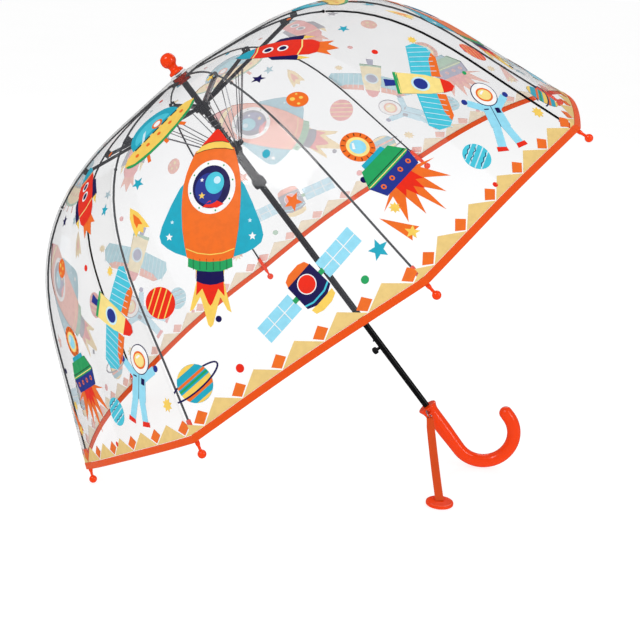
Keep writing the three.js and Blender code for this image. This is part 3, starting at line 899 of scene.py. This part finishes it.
def flight_panel(shift):
    shapes = []
    plane(shapes, shift)
    lander(shapes, shift)
    astronaut(shapes, shift * 0.3)
    little_rocket(shapes, shift * 1.15)
    striped_planet(shapes, 8 + shift * 0.33, 458, 16, "cyan", "ice", 18)
    squiggle = Spot(shapes, 8 + shift * 0.33, 458, turn=18)
    for b in (-8.5, 3.5, 10):
        zigzag = [(a, b + 1.6 * (i % 2)) for i, a in enumerate(range(-10, 11, 4))]
        squiggle.line("navy", zigzag, 0.8, 2)
    craters = Spot(shapes, -74 + shift * 1.3, 285)
    craters.disc("orange", 0, 0, 11)
    for a, b, r in ((-3, 4, 2.6), (4, -1, 2), (-4, -5, 1.6), (5, 6, 1.2)):
        craters.disc("yellow", a, b, r, 1, sides=16)
    Spot(shapes, -70 + shift * 1.2, 229).star("navy", 0, 0, 8)
    Spot(shapes, 50 + shift, 250).star("teal", 0, 0, 7, tilt=70)
    comet = Spot(shapes, -116, 466, turn=20)
    comet.both("orange", [(0, 30), (6, 4), (9, -8), (0, -4)])
    comet.star("yellow", 0, -4, 8, 1)
    for a, v, r in ((122, 472, 8), (-106, 440, 6.5), (88, 318, 6)):
        Spot(shapes, a, v).star("yellow", 0, 0, r, points=8, inner=0.6)
    for a, v, r, colour in ((-104, 398, 3.6, "navy"), (38, 300, 3.6, "red"), (52, 168, 3, "orange"),
                            (-24, 132, 2.6, "teal"), (-6, 492, 3, "red"), (96, 385, 2.6, "green")):
        Spot(shapes, a, v).disc(colour, 0, 0, r, sides=18)
    return shapes


BORDER_PITCH, BORDER_FOOT, BORDER_SHIFT = 52.6, 7.9, 4.6
BORDER_ARC = 505


def border(shapes):
    """Sand triangles along the rim with an orange lozenge over each valley."""
    reach = float(np.interp(BORDER_ARC, _arcs, _radii))

    def up(x, height):
        return (x, float(rim_arc(x / reach)) - BORDER_FOOT - height)

    def run(points):
        fine = []
        for (x0, h0), (x1, h1) in zip(points, points[1:] + points[:1]):
            fine += [up(x0 + (x1 - x0) * i / 6, h0 + (h1 - h0) * i / 6) for i in range(6)]
        return fine

    sand, orange = INK_NAMES.index("sand"), INK_NAMES.index("orange")
    half = BORDER_PITCH / 2
    for i in range(-3, 4):
        x = BORDER_SHIFT + BORDER_PITCH * i
        shapes.append((sand, run([(x - half, 0), (x + half, 0), (x, 17.5)]), 0))
        shapes.append((orange, run([(x + half, 1.5), (x + half + 10.5, 9), (x + half + 2.5, 17),
                                    (x + half - 9, 8.4)]), 1))


# ---- film and print on the half panels

GRID = 6.0
SHEET_HALF, SHEET_TOP, SHEET_END = 156, -11.9, 520
INK_LIFT, INK_LAYER = 0.10, 0.075
WELD_EDGE = math.radians(22.5)


def ruled(shapes):
    """The shapes as one flat mesh, cut along a grid so that it can bend. z holds the layer."""
    bm = bmesh.new()
    for colour, points, layer in shapes:
        twice = sum(a[0] * b[1] - b[0] * a[1] for a, b in zip(points, points[1:] + points[:1]))
        corners = points if twice > 0 else points[::-1]
        face = bm.faces.new([bm.verts.new((x, v, layer)) for x, v in corners])
        face.material_index = colour
    bm.normal_update()
    bmesh.ops.triangulate(bm, faces=bm.faces[:], ngon_method="EAR_CLIP")
    for normal, low, high in (((1, 0, 0), -156, 156), ((0, 1, 0), -12, 528)):
        for i in range(math.ceil(low / GRID), math.floor(high / GRID) + 1):
            everything = bm.verts[:] + bm.edges[:] + bm.faces[:]
            line = [c * i * GRID for c in normal]
            bmesh.ops.bisect_plane(bm, geom=everything, dist=1e-4, plane_co=line, plane_no=normal)
    for vert in bm.verts:
        vert.co.x /= float(radius_at(vert.co.y)) if vert.co.y > -11 else 1.0
    return bm


def quarter(bm, side, lower):
    """The part of a flat mesh on one side of the panel's middle, above or below the rib joint."""
    part = bm.copy()

    def keep(point, normal):
        everything = part.verts[:] + part.edges[:] + part.faces[:]
        bmesh.ops.bisect_plane(
            part, geom=everything, dist=1e-5, plane_co=point, plane_no=normal, clear_outer=True)

    keep((0, 0, 0), (-side, 0, 0))
    keep((side * WELD_EDGE, 0, 0), (side, 0, 0))
    keep((0, HINGE_ARC, 0), (0, -1, 0) if lower else (0, 1, 0))
    keep((0, -CROWN_R + HOLE_R, 0), (0, -1, 0))
    return part


def panel_beside(rib, side):
    return rib - 1 if side < 0 else (rib - 2) % RIBS


def squash_axis(rib, side, lower):
    """The direction across the half panel, square to its rib, and the middle of the rib's run."""
    panel = panel_beside(rib, side)
    ends = [rib_point(rib, a) for a in ((HINGE_ARC, RIB_ARC) if lower else (30, HINGE_ARC))]
    run = (ends[1] - ends[0]).normalized()
    arc = 360.0 if lower else 140.0
    middle, edge = (Vector(canopy_points(panel, t, arc)) for t in (0.0, side * WELD_EDGE))
    over = middle - edge
    return (over - run * over.dot(run)).normalized(), (ends[0] + ends[1]) / 2


def bend_over(bm, panel, name, materials, depth_of, inward=False):
    """Lays a flat mesh on the canopy, with the canopy's own normals."""
    if inward:
        bmesh.ops.reverse_faces(bm, faces=bm.faces)
    bm.verts.ensure_lookup_table()
    flat = np.array([v.co for v in bm.verts], float).reshape(-1, 3)
    flat[:, 1] = np.minimum(flat[:, 1], rim_arc(flat[:, 0]))
    points = canopy_points(panel, flat[:, 0], flat[:, 1], depth_of(flat[:, 2]))
    normals = canopy_normals(panel, flat[:, 0], flat[:, 1])
    uv_layer = bm.loops.layers.uv.verify()
    for face in bm.faces:
        for loop in face.loops:
            x, v = flat[loop.vert.index][:2]
            loop[uv_layer].uv = ((WELD_EDGE - abs(x)) * float(radius_at(v)) * MM, v * MM)
    for vert, point in zip(bm.verts, points):
        vert.co = point
    for face in bm.faces[:1]:
        face.normal_update()
        facing = Vector(normals[face.verts[0].index]).dot(face.normal) > 0
        if facing == inward:
            bmesh.ops.reverse_faces(bm, faces=bm.faces)
    mesh = bpy.data.meshes.new(name)
    bm.to_mesh(mesh)
    bm.free()
    mesh.shade_smooth()
    sign = -1 if inward else 1
    mesh.normals_split_custom_set_from_vertices([tuple(sign * n) for n in normals])
    return new_piece(name, mesh, materials)


def half_panels():
    """Each rib with the panel on either side of it."""
    for rib in range(1, RIBS + 1):
        for side, word in ((-1, "after"), (1, "before")):
            yield rib, panel_beside(rib, side), side, word


def gather(piece, rib, side, lower, slot, *nodes):
    """Fixes a piece of a half panel to its rib, and gives it a mesh of its own."""
    settle(piece, f"rib_end_{rib}" if lower else f"rib_{rib}", slot, *nodes)
    axis, anchor = squash_axis(rib, side, lower)
    tuple(axis)
    tuple(anchor)
    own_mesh(piece)
    return piece


def flat_area(lower):
    """The area and the greatest width of a half panel laid flat."""
    arcs = np.linspace(HINGE_ARC, RIB_ARC - 4, 60) if lower else np.linspace(0, HINGE_ARC, 60)
    widths = radius_at(arcs) * WELD_EDGE * MM
    return float(np.trapz(widths, arcs * MM)), float(widths.max())


def lay_film(films):
    corners = [(-SHEET_HALF, SHEET_TOP), (SHEET_HALF, SHEET_TOP), (SHEET_HALF, SHEET_END),
               (-SHEET_HALF, SHEET_END)]
    sheet = ruled([(0, corners, 0)])
    for rib, panel, side, word in half_panels():
        for lower in (False, True):
            part = quarter(sheet, side, lower)
            bmesh.ops.remove_doubles(part, verts=part.verts, dist=1e-5)
            name = f"film_{'lower' if lower else 'upper'}_{rib}_{word}"
            piece = bend_over(part, panel, name, [CLEAR], lambda layer: 0.0)
            gather(piece, rib, side, lower, "clear_film", "canopy")
            films[rib, word, lower] = piece
    sheet.free()


def lay_print(prints):
    flight_shift = 33
    artwork = {"rocket": rocket_panel(), "flight_far": flight_panel(flight_shift),
               "flight_near": flight_panel(0)}
    for shapes in artwork.values():
        border(shapes)
    flat = {name: ruled(shapes) for name, shapes in artwork.items()}
    for rib, panel, side, word in half_panels():
        design = "rocket" if panel % 2 else ("flight_far" if panel in (0, 4) else "flight_near")
        for lower in (False, True):
            name = f"print_{'lower' if lower else 'upper'}_{rib}_{word}"
            outer = quarter(flat[design], side, lower)
            inner = outer.copy()
            front = bend_over(outer, panel, name, FRONT_INKS,
                              lambda layer: -INK_LIFT - INK_LAYER * layer)
            back = bend_over(inner, panel, name + "_back", BACK_INKS,
                             lambda layer: INK_LIFT + INK_LAYER * layer, inward=True)
            for piece in (front, back):
                gather(piece, rib, side, lower, "clear_film")
            prints[rib, word, lower] = [front, back]
    for bm in flat.values():
        bm.free()


# (arc from the rim, depth) round the folded tape, and where its two seams lie.
BINDING_SECTION = (
    (-7.5, -0.57), (-4.5, -0.62), (-1, -0.6), (0.2, -0.42), (0.57, 0.12), (0.2, 0.68), (-1, 0.86),
    (-4.5, 0.88), (-7.5, 0.82), (-7.5, 0.42), (-0.7, 0.42), (0.05, 0.12), (-0.7, -0.16), (-7.5, -0.16),
)
STITCH_ARC, STITCH_DEPTHS = -6.2, (-0.66, 0.92)


def lay_binding(films, prints):
    for rib, panel, side, word in half_panels():
        turns = np.linspace(0, side * WELD_EDGE, 25)
        rims = rim_arc(turns)
        rows = np.stack([canopy_points(panel, turns, rims + a, d) for a, d in BINDING_SECTION], 1)
        piece = loft(f"binding_{rib}_{word}", [[Vector(p) for p in row] for row in rows], TAPE, 50)
        for depth in STITCH_DEPTHS:
            add_mesh(piece, stitches(canopy_points(panel, turns, rims + STITCH_ARC, depth)), THREAD)
        gather(piece, rib, side, True, "orange_tape", "rim_binding")
        area, width = flat_area(True)
        films[rib, word, True]
        [piece] + prints[rib, word, True]
        area, width = flat_area(False)
        films[rib, word, False]
        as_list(prints[rib, word, False])


films, prints = {}, {}
lay_film(films)
lay_print(prints)
lay_binding(films, prints)

# ---- shaft, ferrule and crown

SHAFT_R, SHAFT_WALL, SHAFT_BOTTOM, SHAFT_TOP = 4.0, 0.8, -530.0, 7.4
HANDLE_TOP, HOOK_START, HOOK_BEND, HOOK_END = -511.0, -582.0, 38.0, 6.0
HOOK_R, GRIP_R, BEND_STEPS = 8.5, 9.5, 48
HUB_Z, RUNNER_PIVOT_Z, BUTTON_Z = -45.3, -107.0, -414.0

bore = SHAFT_R - SHAFT_WALL
shaft = turned("shaft", [
    (bore, SHAFT_BOTTOM), (SHAFT_R, SHAFT_BOTTOM), (SHAFT_R, -400), (SHAFT_R, -200),
    (SHAFT_R, SHAFT_TOP), (bore, SHAFT_TOP), (bore, -200),
], SHAFT_BLACK, looped=True)
settle(shaft, "shaft_and_handle", "black_metal", "shaft_tube")

ferrule = turned("ferrule_knob", rounded([
    (4.3, 2.8), (8.4, 2.6), (9.3, 3.1), (9.3, 5.4), (8.4, 6.8), (6.2, 7.6), (5.3, 9.6), (5.2, 11.8),
    (6.2, 13.6), (8.2, 15.4), (9.2, 18), (9.4, 21), (8.8, 24), (7.1, 26.9), (4.2, 28.8), (1.6, 29.4),
    (0.1, 29.5),
]), HANDLE_ORANGE, sharp=60)
settle(ferrule, "shaft_and_handle", "orange_plastic", "ferrule")

cap = turned("crown_washer", rounded([
    (4.2, 0.35), (10.2, 0.35), (10.7, 0.7), (10.6, 1.3), (9.8, 2), (4.2, 2.1),
], 1), MILKY, sharp=50)
settle(cap, "shaft_and_handle", "milky_plastic", "crown_cap")

# ---- handle


def hook_stations():
    """Middle, direction and radius down the grip, round the bend and over the end."""
    flare = rounded([
        (4.3, 0.4), (10.9, 0), (12.3, -0.9), (12.3, -2.2), (10.7, -5.4), (9.6, -9), (GRIP_R, -16)])
    grip = [(GRIP_R, -35), (9.4, -42), (9.0, -52), (8.7, -61), (HOOK_R, -70)]
    for r, z in flare + grip:
        yield place(0, 0, HANDLE_TOP + z), -AXIS, r
    for i in range(BEND_STEPS + 1):
        a = math.pi * i / BEND_STEPS
        centre = place(HOOK_BEND * (1 - math.cos(a)), 0, HOOK_START - HOOK_BEND * math.sin(a))
        yield centre, UP_SIDE * math.sin(a) - AXIS * math.cos(a), HOOK_R
    for i in range(13):
        a = math.pi / 2 * i / 12.4
        height = HOOK_START + HOOK_END * min(i / 2, 1) + HOOK_R * math.sin(a)
        yield place(2 * HOOK_BEND, 0, height), AXIS, HOOK_R * math.cos(a)


handle_rings = [
    ring_of(centre, ACROSS, along.cross(ACROSS), max(r, 0.3) * MM, 48)
    for centre, along, r in hook_stations()
]
handle = loft("handle_hook", handle_rings, HANDLE_ORANGE, 60)

# The eye beside the collar, which holds the strap's ring.
LUG_OUT, LUG_Z = -14.4, HANDLE_TOP - 6
EYE_R, EYE_WIRE, EYE_STEPS = 2.75, 0.95, 28
eye_rings = []
for i in range(EYE_STEPS):
    spoke = outward(math.tau * i / EYE_STEPS)
    eye_rings.append(ring_of(place(0, LUG_OUT, LUG_Z) + spoke * (EYE_R * MM), spoke, AXIS, EYE_WIRE * MM, 14))
neck = [
    [place(w * a, y, LUG_Z + h * b) for a, b in ((-1, -1), (1, -1), (1, 1), (-1, 1))]
    for w, h, y in ((3.2, 1.9, -8.6), (3.1, 1.5, -10), (2.2, 1.2, -12.2))
]
bm = bmesh.new()
loft_into(bm, eye_rings, looped=True)
loft_into(bm, neck)
bmesh.ops.recalc_face_normals(bm, faces=bm.faces)
add_mesh(handle, smooth_mesh("eye", bm, 40), HANDLE_ORANGE)
settle(handle, "shaft_and_handle", "orange_plastic", "handle")

# ---- runner, spring and button

runner = turned("runner_sleeve", [
    (4.45, -165), (6.9, -165), (7.5, -164.4), (7.8, -163.4), (7.8, -154.6), (7.5, -153.6),
    (6.6, -152.6), (5.9, -151.6), (5.7, -150.6), (5.6, -140), (5.6, -119.5), (6.4, -117.6), (8.5, -113.6),
    (8.7, -112.6), (8.7, -103), (8.4, -102.3), (7.8, -102), (4.45, -102),
], PART_BLACK, looped=True)
FIN = [(7.4, -3), (13.2, -3), (14.6, -1.8), (14.75, 0), (14.6, 1.8), (13.2, 3), (7.4, 3)]
KNURLS, KNURL_OUT = 22, 7.75
bm = bmesh.new()
for rib in range(1, RIBS + 1):
    out = outward(rib_angle(rib))
    aside = AXIS.cross(out)
    loft_into(bm, [
        [place(0, 0, RUNNER_PIVOT_Z) + (out * r + AXIS * z + aside * w) * MM for r, z in FIN]
        for w in (-1, 1)
    ])
for k in range(KNURLS):
    out = outward(math.tau * k / KNURLS)
    loft_into(bm, [ring_of(place(0, 0, z) + out * (KNURL_OUT * MM), out, AXIS.cross(out), r * MM, 8)
                   for z, r in ((-163, 0.1), (-162.4, 0.45), (-155.6, 0.45), (-155, 0.1))])
bmesh.ops.recalc_face_normals(bm, faces=bm.faces)
add_mesh(runner, smooth_mesh("fins", bm, 30), PART_BLACK)
settle(runner, "runner", "black_plastic", "runner")

coil_low, coil_high, coil_gap = RUNNER_PIVOT_Z + 5.4, HUB_Z - 9.4, 0.6
coil = COIL.run(bpy.data.meshes.new("start"), {
    "Turns": 7.0, "Radius": 5.7 * MM, "Height": (coil_high - coil_low - 2 * coil_gap) * MM,
    "Wire": 0.55 * MM, "Metal": STEEL})
coil.transform(Matrix((UP_SIDE, ACROSS, AXIS)).transposed().to_4x4())
coil.transform(Matrix.Translation(place(0, 0, coil_low + coil_gap)))
coil.shade_smooth()
spring = new_piece("runner_spring", coil, [])
settle(spring, "hub", "steel", "opening_spring")
tuple(place(0, 0, coil_high))
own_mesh(spring)

button = turned("catch_button", rounded([
    (0.1, 3.2), (1.9, 3.2), (1.9, 7.2), (3.9, 7.5), (4.5, 8.6), (4.55, 11.4), (4.1, 12.6), (2.2, 13.5),
    (0.1, 13.65),
], 1), PART_BLACK, sharp=50, origin=place(0, 0, BUTTON_Z), axis=-UP_SIDE, sides=36)
settle(button, "button", "black_plastic", "button")

# ---- ribs' balls, ring, strap and tag

TIP_SLEEVE, TIP_BALL, BALL_R = 24.0, 13.5, 4.6
BALL_AT = TIP_SLEEVE + TIP_BALL
ball_side = [
    (BALL_R * math.cos(t), BALL_AT + BALL_R * math.sin(t))
    for t in (math.radians(-62 + 152 * i / 14) for i in range(15))
]
TIP_PROFILE = rounded([
    (1.8, 0.2), (2.3, 0.1), (2.5, 0.6), (2.45, 12), (2.45, TIP_SLEEVE + 2), (2.1, TIP_SLEEVE + 3.6),
    (1.6, TIP_SLEEVE + 5), (1.55, BALL_AT - BALL_R),
], 1) + ball_side
slope_rim = float(slope_at(RIB_ARC))
for rib in range(1, RIBS + 1):
    down = outward(rib_angle(rib)) * math.cos(slope_rim) - AXIS * math.sin(slope_rim)
    tip = turned(f"tip_ball_{rib}", TIP_PROFILE, HANDLE_ORANGE, sharp=60,
                 origin=rib_point(rib, RIB_ARC - TIP_SLEEVE), axis=down, sides=28)
    settle(tip, f"rib_end_{rib}", "orange_plastic", f"rib_tip_{rib}")

RING_R, RING_WIRE, RING_STEPS = 7.5, 0.8, 72
ring_centre = place(0, LUG_OUT - RING_R, LUG_Z)
ring_rings = []
for i in range(RING_STEPS):
    t = math.tau * i / RING_STEPS
    spoke = -ACROSS * math.cos(t) + AXIS * math.sin(t)
    ring_rings.append(ring_of(ring_centre + spoke * (RING_R * MM), spoke, UP_SIDE, RING_WIRE * MM, 16))
split_ring = loft("split_ring", ring_rings, STEEL, 60, looped=True)
settle(split_ring, "shaft_and_handle", "steel", "strap_ring")

TAG_R, TAG_T = 16.5, 4.6
tag_low, tag_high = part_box("strap_tag")
tag_middle = Vector(((tag_low.x + tag_high.x) / 2, (tag_low.y + tag_high.y) / 2, 0))
up = Vector((0, 0, 1))
tag = turned("strap_tag_disc", rounded([
    (0.1, 0.05), (TAG_R - 1.6, 0.05), (TAG_R - 0.3, 0.5), (TAG_R, 1.6), (TAG_R, TAG_T - 1.7),
    (TAG_R - 0.4, TAG_T - 0.5), (TAG_R - 1.8, TAG_T), (TAG_R - 3, TAG_T), (TAG_R - 3.5, TAG_T - 0.55),
    (TAG_R - 4.2, TAG_T - 0.6), (0.1, TAG_T - 0.45),
], 1), HANDLE_ORANGE, sharp=50, origin=tag_middle, axis=up, sides=64)
settle(tag, "shaft_and_handle", "orange_plastic", "strap_tag")

# The strap: one ribbon doubled through the ring, both ends let into the tag.
STRAP_W, STRAP_GAP, STRAP_SAG, STRAP_STEPS = 10.0, 0.6, 3.2, 30
strap_top = ring_centre - ACROSS * ((RING_R + 1.2) * MM)
strap_foot = tag_middle + up * ((TAG_T - 0.2) * MM)
strap_fall = strap_foot - strap_top
level_side = Vector((1, 0, 0))


def strap_line(t):
    """The doubled ribbon's middle line, from the ring down to the tag, with a little sag."""
    return strap_top + strap_fall * t - up * (STRAP_SAG * MM * 4 * t * (1 - t))


def strap_lay(i):
    """At a step down the strap: its width's direction, its face's, and half the gap inside."""
    after = strap_line(min(i + 0.5, STRAP_STEPS) / STRAP_STEPS)
    run = (after - strap_line(max(i - 0.5, 0) / STRAP_STEPS)).normalized()
    wide = (level_side - run * run.x).normalized()
    return wide, run.cross(wide), STRAP_GAP * (0.75 + 0.5 * math.sin(math.pi * i / STRAP_STEPS))


strap_path = [strap_line(i / STRAP_STEPS) for i in range(STRAP_STEPS + 1)]
strap_rings = []
for i, point in enumerate(strap_path):
    wide, face, gap = strap_lay(i)
    half = STRAP_W / 2 * (1 - 0.22 * max(0.0, 1 - i / 3))
    section = [
        (-half + 0.3, -gap - 0.32), (0, -gap - 0.36), (half - 0.3, -gap - 0.32), (half, -gap),
        (half - 0.15, 0), (half, gap), (half - 0.3, gap + 0.32), (0, gap + 0.36),
        (-half + 0.3, gap + 0.32), (-half, gap), (-half + 0.15, 0), (-half, -gap),
    ]
    strap_rings.append([point + (wide * w + face * h) * MM for w, h in section])
strap = loft("strap_ribbon", strap_rings, RIBBON, 40)
for edge in (-1, 1):
    for layer in (-1, 1):
        row = []
        for i in range(1, STRAP_STEPS):
            wide, face, gap = strap_lay(i)
            row.append(strap_path[i] + (wide * (edge * 4.0) + face * (layer * (gap + 0.36))) * MM)
        add_mesh(strap, stitches(row, 2.6, 1.8, 0.3), THREAD)
loop_rings = []
for i in range(13):
    t = math.radians(-78 + 156 * i / 12)
    spoke = ACROSS * math.cos(t) + up * math.sin(t)
    middle = strap_top - ACROSS * MM + spoke * (2.3 * MM)
    flat = [(-3.9, -0.3), (3.9, -0.3), (3.9, 0.3), (-3.9, 0.3)]
    loop_rings.append([middle + (level_side * w + spoke * h) * MM for w, h in flat])
bm = bmesh.new()
loft_into(bm, loop_rings)
bmesh.ops.recalc_face_normals(bm, faces=bm.faces)
add_mesh(strap, smooth_mesh("loop", bm, 40), RIBBON)
settle(strap, "shaft_and_handle", "orange_ribbon", "strap")
strap_length = sum((b - a).length for a, b in zip(strap_path, strap_path[1:]))
[tuple(p) for p in strap_path]

# ---- finishes of the carried parts

METAL_PARTS = {
    "upper_rib": SHAFT_BLACK, "lower_rib": SHAFT_BLACK, "stretcher": SHAFT_BLACK, "link": STEEL,
    "crown_wire": STEEL, "hub_wire": STEEL, "catch_leaf": STEEL,
}
for node_name, node in frame["nodes"].items():
    node.data.materials.clear()
    node.data.materials.append(METAL_PARTS.get(node_name.rstrip("0123456789_"), PART_BLACK))

# ---- floor, light and camera

FLOOR_HALF, FLOOR_DROP = 12, 0.0006
bm = bmesh.new()
bmesh.ops.create_grid(bm, x_segments=4, y_segments=4, size=FLOOR_HALF)
bmesh.ops.translate(bm, verts=bm.verts, vec=(0, 0, -FLOOR_DROP))
floor = new_piece("floor", smooth_mesh("floor", bm), [studio_floor()])
floor.visible_glossy = False

# A white sky that is dimmer as a light, and dimmer still in reflections.
SKY_SEEN, SKY_LIGHT, SKY_IN_GLOSS = 1.0, 0.66, 0.14
world = bpy.data.worlds.new("studio")
bpy.context.scene.world = world
world.use_nodes = True
sky = world.node_tree
rays = add_node(sky, "ShaderNodeLightPath").outputs
strength = SKY_LIGHT
for ray, value in (("Is Glossy Ray", SKY_IN_GLOSS), ("Is Camera Ray", SKY_SEEN)):
    choice = add_node(sky, "ShaderNodeMix", None, {"Factor": rays[ray], "A": strength, "B": value})
    strength = choice.outputs["Result"]
background = sky.nodes["Background"]
background.inputs["Color"].default_value = (1, 1, 1, 1)
sky.links.new(strength, background.inputs["Strength"])


def soft_light(name, power, size, where, aim):
    lamp = bpy.data.lights.new(name, "AREA")
    lamp.energy, lamp.shape, lamp.size, lamp.size_y = power, "RECTANGLE", *size
    stand = bpy.data.objects.new(name, lamp)
    bpy.context.scene.collection.objects.link(stand)
    stand.location = where
    stand.rotation_mode = "QUATERNION"
    stand.rotation_quaternion = (Vector(aim) - Vector(where)).to_track_quat("-Z", "Y")


soft_light("key", 17, (1.1, 0.8), (-1.1, -1.5, 2.0), (0, 0, 0.3))
soft_light("strip", 8, (0.25, 1.6), (1.7, -0.9, 1.1), (0, 0, 0.25))
soft_light("back", 8, (1.4, 0.5), (0.3, 1.9, 1.7), (0, 0, 0.3))

CAMERA_SIDE, CAMERA_HEIGHT, CAMERA_ROLL = (math.radians(a) for a in (-2.59, 17.04, 3.63))
CAMERA_AWAY, CAMERA_AIM, CAMERA_LENS = 1.661, Vector((0.0204, 0.0011, 0.1785)), 75.0
sight = Vector((
    math.sin(CAMERA_SIDE) * math.cos(CAMERA_HEIGHT), math.cos(CAMERA_SIDE) * math.cos(CAMERA_HEIGHT),
    -math.sin(CAMERA_HEIGHT)))
level = Vector((math.cos(CAMERA_SIDE), -math.sin(CAMERA_SIDE), 0))
upright = level.cross(sight)
right = level * math.cos(CAMERA_ROLL) + upright * math.sin(CAMERA_ROLL)
top = upright * math.cos(CAMERA_ROLL) - level * math.sin(CAMERA_ROLL)
camera_data = bpy.data.cameras.new("camera")
camera_data.lens, camera_data.sensor_width = CAMERA_LENS, 36
camera = bpy.data.objects.new("camera", camera_data)
bpy.context.scene.collection.objects.link(camera)
camera.matrix_world = Matrix.Translation(CAMERA_AIM - sight * CAMERA_AWAY) @ Matrix(
    (right, top, -sight)).transposed().to_4x4()
bpy.context.scene.camera = camera
bpy.context.scene.view_settings.view_transform = "Standard"
